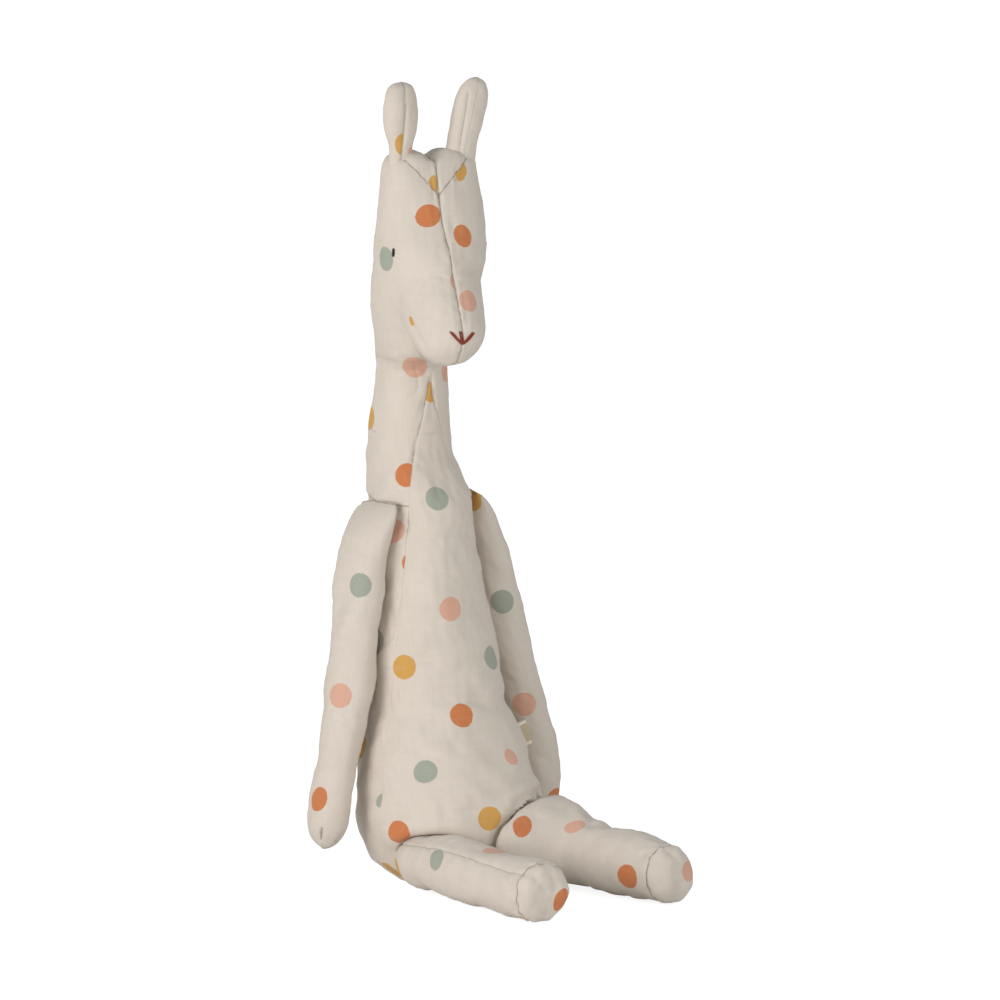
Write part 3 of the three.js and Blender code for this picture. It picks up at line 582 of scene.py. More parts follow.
# Legs: distance from the hip, half width on the outer and on the inner side, lowest and highest point.
THIGH = 15.25
LEG_ROWS = {
    1: [
        [-THIGH, 2.0, 2.0, 13.6, 18.0], [-13, 8.5, 8.5, 8.0, 25.0], [-8, 13.2, 13.0, 3.0, 31.0],
        [0, 15.6, 15.5, 0.4, 35.5], [13, 16.0, 16.0, 0.4, 39.5], [16, 16.0, 21.5, 0.8, 40.0],
        [18.5, 16.0, 33.5, 1.2, 40.3], [20.5, 16.0, 38.0, 1.5, 40.0], [24, 15.8, 36.6, 1.8, 39.0],
        [28, 15.5, 31.5, 2.0, 37.2], [33, 15.2, 23.5, 2.0, 34.4], [40, 14.8, 16.6, 2.0, 31.4],
        [50, 14.8, 14.8, 2.0, 30.6], [72, 14.4, 14.4, 0.4, 30.2], [86, 14.2, 14.2, 0, 28.8],
        [92, 13.8, 13.8, 0.5, 28.0], [96, 12.3, 12.3, 1.6, 26.0], [99, 9.6, 9.6, 4.2, 23.0],
        [100.6, 6.4, 6.4, 7.2, 19.8], [101.2, 2.0, 2.0, 11.5, 15.6],
    ],
    -1: [
        [-THIGH, 2.0, 2.0, 13.6, 17.6], [-13, 8.0, 8.0, 8.0, 22.0], [-8, 12.9, 12.9, 3.4, 25.4],
        [0, 15.25, 15.25, 1.2, 27.0], [12, 15.3, 15.3, 1.7, 27.6], [26, 15.1, 15.1, 2.0, 28.4],
        [44, 14.8, 14.8, 1.6, 28.6], [60, 14.3, 14.3, 0.8, 28.2], [80, 14.0, 14.0, 0, 27.6],
        [91, 14.2, 13.4, 0, 28.2], [95.2, 13.2, 12.2, 0.8, 27.4], [98, 10.9, 10.2, 2.6, 25.2],
        [99.3, 7.8, 7.4, 5.4, 22.0], [99.9, 2.5, 2.5, 11.0, 16.4],
    ],
}
TOE_SEAM = {1: 91.5, -1: 92.6}
LEG_GAP = 0.4
# How far above level, in degrees, the space reaches that is kept free for a leg.
LEG_SPARE = 2.0
# Back of the left thigh's inner lobe: distance inwards from the leg, then forward of the hip.
LOBE_BACK = [[4, 34], [10, 14], [12, 11.5], [16, 12.3], [21, 15.0], [33.5, 17.6], [38, 19.6], [43, 28]]
LOBE_REACH = 38.5


def leg_frame(side):
    """Hip, axis and forward direction of a leg, and how far it swings down."""
    name = f"leg_{SIDES[side]}_swing"
    axis = np.array(joints[name]["axis"])
    return hinge(name), axis, np.array([axis[1], -axis[0], 0.0]), joints[name]["range_deg"][1]


def leg_room(points, side):
    """Distance to the space that a leg sweeps, in the upright plane of the leg."""
    hip, axis, forward, farthest = leg_frame(side)
    offset = points - hip
    ahead, above = offset @ forward, offset[..., 2]
    rows = np.array(LEG_ROWS[side])
    top = np.interp(np.clip(ahead, 0, None), rows[:, 0], rows[:, 4]) - hip[2]
    rise = above * np.where(above > 0, THIGH / top, 1)
    angle = np.arctan2(rise, ahead)
    over = np.maximum(angle - math.radians(LEG_SPARE), 0) + np.maximum(-math.radians(farthest) - angle, 0)
    plane = np.hypot(ahead, rise) * np.sin(np.minimum(over, math.pi / 2))
    return np.hypot(plane, offset @ axis)


def behind_lobe(points):
    """How far points must move back to leave room for the left thigh's inner lobe, under its crease."""
    hip, axis, forward, _ = leg_frame(1)
    offset = points - hip
    inwards = -(offset @ axis)
    crease = 20.8 + 19.4 * power(1 - np.clip(inwards / LOBE_REACH, 0, 1) ** 2.1, LIMB_SQUARE)
    rows = np.array(LOBE_BACK)
    limit = np.interp(inwards, rows[:, 0], rows[:, 1], left=FAR, right=FAR)
    limit = limit + 12 * smooth((points[..., 2] - crease - 0.4) / 2.6)
    return forward * np.clip(offset @ forward - limit, 0, None)[..., None]


def from_front(points, angle):
    """Signed length round each ring, from the middle of its front."""
    order = np.argsort(angle, axis=1)
    length = running_length(np.take_along_axis(points, order[..., None], 1), 1)
    made = np.zeros_like(length)
    for k, places in enumerate(order):
        made[k, places] = length[k] - np.interp(0.0, angle[k, places], length[k])
    return made


# Folds and dots are placed by pixels of the picture. A fold has its line, its depth and its width, then how
# high the cloth stands beside it and how it fades. A dot has its ink and place, then radius, panel and oval.
CREASE = [(514, 711), (506, 708), (482, 704), (452, 700), (430, 700), (406, 704)]
TORSO_FOLDS = [
    (CREASE, 1.3, 1.7, 0.0, 0.6),
    ([(x, y - 6) for x, y in CREASE], 1.2, 3.6, 0.0, 0.6),
    ([(x, y + 8) for x, y in CREASE], -0.8, 3.0, 0.0, 0.6),
    ([(494, 842), (504, 823), (518, 803), (531, 793), (541, 791)], 1.5, 1.8, 0.9, 0.08),
    ([(498, 690), (470, 686), (440, 690)], 0.4, 2.2, 0.25),
    ([(386, 690), (391, 720), (400, 752)], 0.5, 2.6, 0.3),
    ([(415, 745), (424, 760)], 0.4, 2.0, 0.2),
    ([(412, 785), (424, 815), (436, 832)], 0.5, 2.4, 0.3),
    ([(441, 790), (446, 815), (441, 836)], 0.5, 2.4, 0.3),
    ([(470, 790), (476, 806)], 0.4, 1.8, 0.2),
    ([(450, 735), (462, 760)], 0.4, 2.4, 0.2),
    ([(470, 612), (484, 612)], 0.3, 1.6, 0.15),
]
TORSO_DOTS = [
    ("mustard", (370, 418), 5.3, "right"), ("orange", (407, 475), DOT, "right"), ("sage", (437.3, 498.3)),
    ("pink", (394, 531), DOT, "right"), ("orange", (413.3, 563), DOT, "right"), ("pink", (450.8, 609)),
    ("sage", (376, 642)), ("mustard", (403.8, 667.2)), ("sage", (491.5, 657.7)),
    ("orange", (461.8, 715.6), DOT, "any", (1.03, 0.97, -35)), ("mustard", (361, 746)),
    ("pink", (511, 757), 4.3, "any", (0.75, 1.0, 20)), ("sage", (425.6, 772)),
    ("sage", (381, 801), 3.2, "right"), ("orange", (398, 832.5), DOT, "any", (1.1, 0.97, 0)),
    ("mustard", (489.8, 818.6), DOT, "front"), ("mustard", (392, 870)),
]
# Chest, waist and belly: how far they stand out, their height and their spread.
BULGES = ((1.9, 104, 15), (-1.5, 80.5, 4.5), (1.0, 66, 9))
LAP = 5.0
LAP_SINK = 0.3
# A torso dot this near the join is printed on the head too, and scattered dots keep clear of it by as much.
NECK_PRINT = 7
YIELD_STEPS = 12


def make_torso():
    front_columns, side_columns, floor_rings, floor_step = 84, 72, 14, 1.5
    heights = np.concatenate([np.linspace(0, 8, 13)[:-1], np.linspace(8, JOIN + LAP, 201)])
    half = np.radians(between(TRUNK, heights)[:, 3])[:, None]
    front = half * (2 * crowded(front_columns) - 1)
    flank = (math.pi - half) * crowded(side_columns)
    phi = np.concatenate([front, half + flank, -math.pi + flank], 1)
    wall = trunk_at(phi, np.broadcast_to(heights[:, None], phi.shape))

    def with_floor(grid):
        return np.concatenate([np.repeat(grid[:1], floor_rings, 0), grid])

    centre = np.array([0.0, between(TRUNK, 0.0)[2], 0.0])
    shares = np.linspace(0.06, 1, floor_rings + 1)[:-1]
    floor = centre + (wall[0] - centre) * shares[:, None, None]
    skin = Skin("torso_cover", np.concatenate([floor, wall]))
    z = skin.points[..., 2]
    shrink = np.concatenate([shares, np.ones(len(wall))])[:, None]
    down = with_floor(wall[..., 2])
    down[:floor_rings] = -floor_step * np.arange(floor_rings, 0, -1)[:, None]
    skin.cloth = np.stack([with_floor(from_front(wall, phi)) * shrink, down - JOIN, np.zeros_like(down)], -1)
    skin.slack(1, mask=smooth(z / 6) * smooth((JOIN - z) / 14))
    side_on = np.abs(np.sin(with_floor(phi)))
    left = smooth(skin.points[..., 0] / 20)
    bulge = sum(height * bell(z - level, spread) for height, level, spread in BULGES)
    flank = -3.0 * bell(z - 47, 9) * left * side_on
    skin.push(bulge * (0.3 + 0.7 * side_on) * (0.45 + 0.55 * left) + flank)
    gusset = signed_gusset(skin.points, z)
    skin.seam(0, gusset, strength=gusset_strength(skin.points), depth=0.38, seed=40)
    back = np.where(skin.points[..., 1] > between(TRUNK, z)[..., 2], skin.points[..., 0], FAR)
    skin.seam(1, back, strength=0.5, seed=41)
    shoulder = np.where(gusset < 0, z - SHOULDER, np.hypot(z - SHOULDER, gusset))
    skin.push(0.5 * bell(z - SHOULDER - 2.5, 2.5) * smooth(-gusset / 4))
    skin.seam(2, shoulder, strength=0.6, depth=0.4, width=1.0, pull=0.2)
    skin.push(-LAP_SINK * smooth((z - JOIN) / 3))
    skin.panels["front"] = gusset
    skin.part_panel("", -gusset, skin.points[..., 0])

    # Where the belly presses on a leg it gives way, and rolls over the leg's root.
    for side in SIDES:
        for _ in range(YIELD_STEPS):
            inside = np.clip(THIGH + LEG_GAP - leg_room(skin.points, side), 0, None)
            middle = skin.points.copy()
            middle[..., :2] = between(TRUNK, z)[..., 2:3] * (0, 1)
            skin.points = skin.points + unit(middle - skin.points) * (inside * 0.5)[..., None]
        room = leg_room(skin.points, side) - THIGH
        skin.push(1.3 * bell(room - 5, 4) * smooth((z - 16) / 10))
    skin.points = skin.points - behind_lobe(skin.points)
    skin.rest_on_floor()
    skin.mark(TORSO_FOLDS, TORSO_DOTS)
    skin.scatter(5, 30, highest=JOIN - NECK_PRINT)
    made = skin.build(linen)
    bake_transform(made)
    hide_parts("belly_panel", "body_side_left", "body_side_right", "torso_filling")
    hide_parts("throat_panel", "neck_side_left", "neck_side_right", "neck_filling")
    return skin


torso = make_torso()

# Head: its own frame has its origin at the middle of the throat and is turned with the head.
# Skull: height, half width, and how far it reaches to the front and to the back.
HEAD_PIVOT = hinge("head_turn")
HEAD_TURN = math.radians(-10)
SKULL = [
    [0, 16, 16, 14.8], [13, 17.5, 30, 15.2], [30, 22, 32, 11], [53, 25, 44, 3], [73, 24.5, 38.5, -4],
    [93, 22, 33.5, -9],
]
CROWN = 93.0
CROWN_RISE = 9.0
CROWN_CLOTH = 14
MUZZLE_ROOT = np.array([0, -20.5, 53.0])
MUZZLE_TIP = np.array([0, -43.0, 21.5])
MUZZLE_ROOT_RADIUS = 22.5
MUZZLE_TIP_RADIUS = 16.5
NOTCH = np.array([0, -29.3, 9.0])


def head_section(z):
    """Half width, middle and half depth of the skull, or of the neck below it."""
    wide, front, back = columns_of(SKULL, z)
    neck_wide, neck_deep, neck_back, _ = columns_of(TRUNK, HEAD_PIVOT[2] + np.minimum(z, 0))
    below = z < 0
    middle = np.where(below, neck_back - HEAD_PIVOT[1], (back - front) / 2)
    return np.where(below, neck_wide, wide), middle, np.where(below, neck_deep, (back + front) / 2)


def ring_share(x, y, wide, deep, square):
    """How far out a point lies in a ring that is a little squared off, 1 at its edge."""
    return np.maximum((np.abs(x) / wide) ** square + (np.abs(y) / deep) ** square, 1e-9) ** (1 / square)


def to_head(points):
    """World points in the head's own frame."""
    x, y, z = np.moveaxis(points - HEAD_PIVOT, -1, 0)
    return np.stack([*turned(x, y, -HEAD_TURN), z], -1)


def from_head(points, turn=HEAD_TURN):
    x, y, z = np.moveaxis(points, -1, 0)
    return np.stack([*turned(x, y, turn), z], -1) + HEAD_PIVOT


def skull_depth(p):
    """How far a point lies outside the skull and neck, about in millimetres."""
    x, y, z = np.moveaxis(p, -1, 0)
    wide, middle, deep = head_section(z)
    ring = ring_share(x, y - middle, wide, deep, TRUNK_SQUARE + 0.1 * smooth((z + 25) / 30))
    top = CROWN_RISE * (1 - 0.27 * bell(x + 1.6, 4.2))
    rise = np.clip((z - CROWN) / top, 0, 1)
    dome = np.maximum(1 - rise**2, 1e-4) ** 0.225
    return np.maximum((ring / dome - 1) * np.minimum(wide, deep), z - CROWN - top)


def muzzle_depth(p):
    """How far a point lies outside the muzzle, two balls and the cone that touches both."""
    way = MUZZLE_TIP - MUZZLE_ROOT
    length2 = way @ way
    drop = MUZZLE_ROOT_RADIUS - MUZZLE_TIP_RADIUS
    a2 = length2 - drop * drop
    offset = p - MUZZLE_ROOT
    y = offset @ way
    z = y - length2
    x2 = ((offset * length2 - way * y[..., None]) ** 2).sum(-1)
    y2, z2 = y * y * length2, z * z * length2
    k = drop * drop * x2
    cone = (np.sqrt(x2 * a2 / length2) + y * drop) / length2 - MUZZLE_ROOT_RADIUS
    tip = np.sqrt(x2 + z2) / length2 - MUZZLE_TIP_RADIUS
    root = np.sqrt(x2 + y2) / length2 - MUZZLE_ROOT_RADIUS
    near_tip = np.sign(z) * a2 * z2 > k
    near_root = np.sign(y) * a2 * y2 < k
    return np.where(near_tip, tip, np.where(near_root, root, cone))


def head_depth(p, blend=3.5):
    a, b = skull_depth(p), muzzle_depth(p)
    h = np.clip(blend - np.abs(a - b), 0, None) / blend
    return np.minimum(a, b) - h * h * blend / 4


def cast(centres, ways, longest=75.0, steps=75, halvings=16):
    """Where rays from inside the head leave it."""
    low = np.zeros(ways.shape[:-1])
    high = np.full(low.shape, longest)
    found = np.zeros(low.shape, bool)
    for k in range(1, steps + 1):
        reach = longest * k / steps
        out = head_depth(centres + ways * reach) > 0
        new = out & ~found
        high = np.where(new, reach, high)
        low = np.where(found | new, low, reach)
        found |= out
    for _ in range(halvings):
        middle = (low + high) / 2
        out = head_depth(centres + ways * middle[..., None]) > 0
        high = np.where(out, middle, high)
        low = np.where(out, low, middle)
    return centres + ways * high[..., None]


def head_rings(columns=200):
    """Rings up the neck, then rings that fan about a line under the chin, to the bottom of the muzzle."""
    t = np.arange(columns) / columns
    theta = 2 * math.pi * t - 0.32 * np.sin(4 * math.pi * t)
    rings = []
    for z in np.linspace(JOIN - LAP - HEAD_PIVOT[2], NOTCH[2], 40)[:-1]:
        rings.append(((0, head_section(z)[1], z), (0, 1.0, 0), z))
    to_tip = MUZZLE_TIP - NOTCH
    tip_distance = np.linalg.norm(to_tip)
    tip_angle = math.atan2(to_tip[2], to_tip[1])
    fan = list(np.arange(0, tip_angle, math.radians(0.85)))
    for turn in np.linspace(0, 0.5 * math.pi, 28)[:-1]:
        fan.append(tip_angle + math.asin(MUZZLE_TIP_RADIUS * math.sin(turn) / tip_distance))
    reach = np.linspace(0.5, 115, 460)
    for angle in fan:
        way = np.array([0, math.cos(angle), math.sin(angle)])
        inside = reach[head_depth(NOTCH + way * reach[:, None]) < 0]
        rings.append((NOTCH + way * (inside[0] + inside[-1]) / 2, way, FAR))
    centres, outer, heights = (np.array(made) for made in zip(*rings))
    ways = -outer[:, None] * np.cos(theta)[:, None] + np.array([1.0, 0, 0]) * np.sin(theta)[:, None]
    return cast(centres[:, None], ways), HEAD_TURN * smooth((heights + 20) / 26)[:, None]


def head_cloth(local):
    """Cloth of the head with its yarns upright and level: length round each level, and height."""
    levels = np.linspace(JOIN - LAP - HEAD_PIVOT[2] - 1, CROWN + CROWN_RISE, 80)
    angles = np.linspace(0, math.pi, 110)
    reaches = np.linspace(2, 75, 147)
    centres = np.stack([0 * levels, head_section(levels)[1], levels], -1)[:, None, None]
    ways = np.stack([np.sin(angles), -np.cos(angles), 0 * angles], -1)[None, :, None]
    inside = head_depth(centres + ways * reaches[:, None]) < 0
    last = np.where(inside.any(-1), len(reaches) - 1 - np.argmax(inside[..., ::-1], -1), 0)
    radius = reaches[last]
    steps = np.hypot(np.diff(radius, axis=1), (radius[:, 1:] + radius[:, :-1]) / 2 * np.diff(angles))
    length = np.concatenate([np.zeros((len(levels), 1)), np.cumsum(steps, 1)], 1)
    x, y, z = np.moveaxis(local, -1, 0)
    wide, middle, deep = head_section(z)
    angle = np.arctan2(np.abs(x), -(y - middle))
    row = np.clip((z - levels[0]) / (levels[1] - levels[0]), 0, len(levels) - 1.001)
    column = np.clip(angle / (angles[1] - angles[0]), 0, len(angles) - 1.001)
    i, j = row.astype(int), column.astype(int)
    u, v = row - i, column - j
    below, above = (length[k, j] * (1 - v) + length[k, j + 1] * v for k in (i, i + 1))
    ring = ring_share(x, y - middle, wide, deep, TRUNK_SQUARE)
    over = CROWN_CLOTH * np.clip(1 - ring, 0, 1) * smooth((z - CROWN + 4) / 6)
    arc = below * (1 - u) + above * u
    return np.stack([np.sign(x) * arc, z + over + HEAD_PIVOT[2] - JOIN, np.zeros_like(z)], -1)


# Jaw dart and cheek, and the print of the head.
HEAD_FOLDS = [
    ([(409, 316), (416, 332), (425, 346), (431, 354)], 0.7, 1.3, 0.25),
    ([(447, 265), (440, 285), (438, 300)], 0.25, 3.0, 0.0),
]
HEAD_DOTS = [
    ("mustard", (437.5, 184), 4.8, "crown_right"), ("mustard", (457, 170.5), 5.2, "head_left"),
    ("orange", (428.3, 215.8), DOT, "head_right", (1.1, 0.92, 18)),
    ("orange", (462.8, 236), 5.3, "head_left", (0.8, 1.0, 22)), ("sage", (384.5, 259), DOT, "head_right"),
    ("pink", (458.5, 281.5), 4.2, "head_right"), ("pink", (469, 300.8), 5.0, "head_left"),
    ("mustard", (411.5, 321), 2.4, "any", (0.45, 1.0, 22)),
    ("pink", (415, 366.3), 5.8, "any", (1.0, 0.9, -20), 0.45), ("pink", (446, 371), 5.0),
    ("mustard", (431.5, 392), 4.7, "throat"),
]


def make_head():
    local, turn = head_rings()
    world = from_head(local, turn)
    skin = Skin("head_cover", world)
    skin.cloth = head_cloth(local)
    z = world[..., 2]
    skin.slack(11, tall=0.4, middle=0.2, mask=smooth((z - JOIN) / 14))
    x, y, rise = np.moveaxis(local, -1, 0)
    x = x + 1.6 * bell(x, 9) * smooth((rise - 56) / 18)
    vee = (rise - CROWN + 10 - np.abs(x)) / math.sqrt(2)
    middle = np.where((vee > 0) | (y < 0) | (rise > 20), x, FAR)
    middle = np.where((rise < 14) & (y < 0) & (y > -31), FAR, middle)
    face = np.where(y < rise * -0.2, 0.75, 0.5)
    skin.seam(0, middle, strength=face, depth=0.45, width=0.8, seed=41)
    skin.seam(1, vee, strength=0.7, depth=0.5, width=0.8)
    below = np.where(z < HEAD_PIVOT[2], signed_gusset(world, np.minimum(z, HEAD_PIVOT[2])), FAR)
    neck = np.where((rise < 4) & (np.abs(below) < 20), below, FAR)
    skin.seam(2, neck, strength=gusset_strength(world) * (1 - smooth((rise + 10) / 12)), depth=0.38, seed=40)
    skin.push(-LAP_SINK * smooth((JOIN - z) / 3))
    skin.part_panel("head_", -vee, x)
    skin.part_panel("crown_", vee, x)
    skin.panels["throat"] = neck
    skin.mark(HEAD_FOLDS, HEAD_DOTS)
    skin.dots += [dot[:3] + ("any",) + dot[4:] for dot in torso.dots if dot[1][2] > JOIN - NECK_PRINT]
    skin.scatter(7, 30, lowest=JOIN + NECK_PRINT)
    made = skin.build(linen)
    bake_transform(made)
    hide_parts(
        "head_side_left", "head_side_right", "crown_gusset_left", "crown_gusset_right", "head_filling"
    )
    return skin


head = make_head()

# Ears: share of the length, then half width and half thickness in millimetres.
EAR_ROWS = {
    -1: [
        [0, 4.4, 3.4], [0.08, 5.2, 4.0], [0.16, 5.5, 4.4], [0.3, 5.9, 4.8], [0.5, 7.7, 5.4],
        [0.68, 8.2, 5.5], [0.84, 7.7, 5.0], [0.94, 5.9, 3.9], [0.985, 3.2, 2.2], [1, 0.4, 0.4],
    ],
    1: [
        [0, 7.6, 5.0], [0.16, 7.1, 4.8], [0.32, 7.1, 5.0], [0.55, 7.7, 5.4], [0.7, 7.8, 5.4],
        [0.84, 7.0, 4.9], [0.94, 5.0, 3.7], [0.985, 2.8, 2.0], [1, 0.4, 0.4],
    ],
}
EAR_LENGTH = {1: 38.5, -1: 37.5}
EAR_ROOT = -3.0
EAR_SHIFT = {1: -3.0, -1: 0.0}
# How far aside of the middle the front seam starts at the foot and ends at the tip.
EAR_SEAM = {1: (-2.2, -4.8), -1: (-1.2, 1.0)}
# How far an ear leans to the giraffe's left, in degrees.
EAR_LEAN = {1: 13.5, -1: 0.5}


def make_ear(side):
    name = SIDES[side]
    rings, columns = 66, 72
    share = np.sin(np.linspace(0, 0.5 * math.pi, rings))[:, None] ** 0.9
    wide, thick = columns_of(EAR_ROWS[side], share)
    angle = angles_round(columns)
    x = wide * power(np.sin(angle), LIMB_SQUARE)
    y = -thick * power(np.cos(angle), LIMB_SQUARE)
    z = EAR_ROOT + (EAR_LENGTH[side] - EAR_ROOT) * share + 0 * x
    bend = side * 1.2 * (share - 0.5) ** 2
    cup = 1.1 * np.sin(math.pi * share) * (1 - (x / 8.5) ** 2)
    across, up = turned(x + bend, z, -math.radians(EAR_LEAN[side]))
    seat = to_head(hinge(f"ear_{name}_fold")) + (EAR_SHIFT[side], 0, 0)
    skin = Skin(f"ear_{name}_cover", from_head(np.stack([across, y + cup * 0.4, up], -1) + seat))
    skin.slack(20 + side, tall=0.25, middle=0.15, fine=0.06)
    foot, tip = EAR_SEAM[side]
    front = np.where(y < 0, x - (foot + (tip - foot) * share), FAR)
    fading = 1 - smooth((share - 0.72) / 0.2) if side > 0 else 1.0
    skin.seam(0, front, strength=0.4 * fading, depth=0.45, width=0.8, pull=0.7, reach=2.6)
    skin.seam(1, np.where(y > 0, x, FAR), strength=0.4, depth=0.35, width=0.8)
    skin.panels["inner"] = np.where(y < 0, front * -side, FAR)
    skin.panels["outer"] = np.where(y < 0, front * side, FAR)
    if side < 0:
        skin.dot("mustard", (401.5, 144), 4.8, "outer", (0.62, 1.0, 0))
        skin.dot("pink", (410.8, 150), 1.6, "inner")
        skin.fold([(404, 88), (405, 120), (403, 150)], 0.25, 1.0)
    skin.scatter(30 + side, 24, 5.2)
    made = skin.build(linen)
    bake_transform(made)
    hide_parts(f"ear_{name}")


for side in SIDES:
    make_ear(side)

# Arms: share of the length, then half thickness and half width from front to back.
ARM_TOP = {1: 173.2, -1: 171.8}
ARM_FOOT = 17.7
ARM_FORWARD = 15
ARM_SEAM = 0.8
ARM_ROWS = [
    [0, 0.8, 12.4], [0.01, 1.9, 14.2], [0.025, 3.4, 15.2], [0.05, 5.4, 15.7], [0.09, 7.5, 15.3],
    [0.15, 8.6, 14.4], [0.3, 9.6, 13.2], [0.45, 9.8, 12.2], [0.6, 9.5, 11.2], [0.75, 9.3, 10.3],
    [0.85, 9.7, 10.5], [0.91, 9.4, 10.0], [0.95, 8.0, 8.6], [0.98, 5.7, 6.1], [0.993, 3.6, 3.9],
    [1, 0.8, 0.9],
]
# Distance of the middle line from the trunk's middle, which hangs against the side and then clear of it.
ARM_ASIDE = {
    -1: [
        [0, 21.6], [0.03, 24.0], [0.08, 27.6], [0.166, 32.4], [0.342, 38.0], [0.517, 42.6], [0.69, 49.4],
        [0.861, 56.2], [0.95, 60.4], [1, 62.2],
    ],
    1: [
        [0, 22.8], [0.03, 25.8], [0.08, 28.8], [0.208, 34.2], [0.39, 41.2], [0.571, 48.2], [0.752, 55.0],
        [0.89, 57.8], [1, 58.8],
    ],
}
ARM_FOLDS = {
    -1: [
        ([(330, 716), (345, 722), (360, 723)], 0.7, 1.6, 0.35),
        ([(331, 612), (345, 608), (366, 612)], 0.3, 1.6, 0.15),
        ([(327, 665), (340, 668)], 0.45, 1.8, 0.2),
        ([(345, 540), (360, 548), (372, 560)], 0.35, 2.2, 0.2),
        ([(322, 826), (321, 840)], 0.8, 0.9, 0.25),
    ],
    1: [
        ([(495, 560), (505, 556), (516, 558)], 0.4, 1.8, 0.2),
        ([(512, 640), (530, 644)], 0.4, 1.8, 0.2),
        ([(530, 752), (546, 760), (552, 775)], 0.5, 2.2, 0.3),
        ([(520, 716), (530, 722), (546, 716)], 0.3, 2.0, 0.2),
    ],
}
ARM_DOTS = {
    -1: [
        ("sage", (359.4, 585.2)), ("pink", (340, 695.6)),
        ("orange", (318.0, 799), DOT, "any", (0.85, 1.0, -12)),
    ],
    1: [("mustard", (472, 499)), ("sage", (502.2, 602)), ("pink", (524, 704.5)), ("orange", (556, 800))],
}
# The line of painted shade in a short slit at the lower end of the right arm.
ARM_SLIT_SHADE = [(322, 828), (321.5, 833), (321, 838)]


def arm_centres(side, share):
    """The middle line of an arm, which follows the trunk's side down and then hangs clear of it."""
    x = between(ARM_ASIDE[side], share)[..., 0]
    y = hinge(f"arm_{SIDES[side]}_raise")[1] - ARM_FORWARD * share
    return np.stack([side * x, y, ARM_TOP[side] - (ARM_TOP[side] - ARM_FOOT) * share], -1)


def make_arm(side):
    name = SIDES[side]
    rings, columns = 168, 84
    even = np.linspace(0, 1, rings)
    share = 0.5 * (1 - (1 - even) ** 1.25) + 0.5 * even
    after, before = (arm_centres(side, np.clip(share + step, 0, 1)) for step in (0.01, -0.01))
    tangent = unit(after - before)
    across = unit(np.cross(tangent, [0, 1.0, 0]))
    along = unit(np.cross(across, tangent))
    thick, wide = columns_of(ARM_ROWS, share)[..., None]
    angle = angles_round(columns)
    ring_across = thick * power(np.cos(angle), LIMB_SQUARE)
    ring_along = wide * power(np.sin(angle), LIMB_SQUARE)
    centre = arm_centres(side, share)[:, None]
    points = centre + across[:, None] * ring_across[..., None] + along[:, None] * ring_along[..., None]
    share = share[:, None]
    front_drop = np.clip(1 - share / 0.12, 0, 1) * (ring_along / 15.0) * np.sign(along[:, None, 1])
    points[..., 2] += 0.5 * front_drop - 1.9 * np.clip(front_drop, 0, 1) ** 2
    skin = Skin(f"arm_{name}_cover", points)
    skin.slack(50 + side, tall=0.5, middle=0.25, fine=0.08, mask=smooth(share / 0.2))
    skin.seam(0, np.where(ring_along > 0, ring_across, FAR), strength=0.5, depth=0.6)
    skin.seam(1, share * (ARM_TOP[side] - ARM_FOOT) - ARM_SEAM, strength=0.5, depth=0.3, width=0.7, pull=0.0)
    skin.mark(ARM_FOLDS[side], ARM_DOTS[side])
    if side < 0:
        # Painted shade along the slit.
        path = np.array([skin.hit(pixel) for pixel in ARM_SLIT_SHADE])
        skin.shade = 0.75 * (1 - smooth((distance_to_path(skin.points, path)[0] - 0.25) / 0.45))
    skin.scatter(60 + side, 31)
    made = skin.build(linen)
    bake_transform(made)
    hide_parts(f"arm_cover_{name}", f"arm_filling_{name}")


for side in SIDES:
    make_arm(side)

LEG_FOLDS = {
    -1: [
        ([(526, 874), (536, 880), (545, 878)], 0.5, 1.6, 0.3),
        ([(535, 905), (545, 898), (556, 893)], 0.5, 1.8, 0.3),
        ([(548, 872), (556, 882)], 0.4, 1.6, 0.25),
        ([(505, 866), (512, 884), (510, 900)], 0.4, 2.0, 0.2),
    ],
    1: [
        ([(588, 812), (591, 820), (588, 832)], 0.8, 2.4, 0.5),
        ([(640, 838), (640, 850)], 0.4, 2.0, 0.2),
        ([(668, 850), (676, 860)], 0.4, 1.6, 0.25),
        ([(655, 890), (664, 880)], 0.4, 1.8, 0.25),
    ],
}
LEG_DOTS = {
    -1: [
        ("sage", (436, 858.5), 5.7, "upper", (0.7, 1.0, 8)), ("pink", (494, 851), 5.2, "shaft"),
        ("mustard", (392, 870), 5.2, "shaft"), ("orange", (561, 900), 5.2, "hoof", (0.62, 1.08, -22)),
    ],
    1: [
        ("orange", (522.4, 825.6), 5.7, "shaft", (0.76, 1.05, -18)),
        ("pink", (575, 826.5), 5.2, "shaft", (1.0, 0.55, 20)),
        ("orange", (627.3, 877), 5.7, "shaft"), ("pink", (689.5, 871), 4.8, "hoof"),
    ],
}
# Where the lengthwise seam runs, in degrees round the leg from its lowest line, and how clearly it shows.
LEG_SEAM = {1: (140, 0.2), -1: (227, 0.4)}
LEG_RADIUS = 14.5


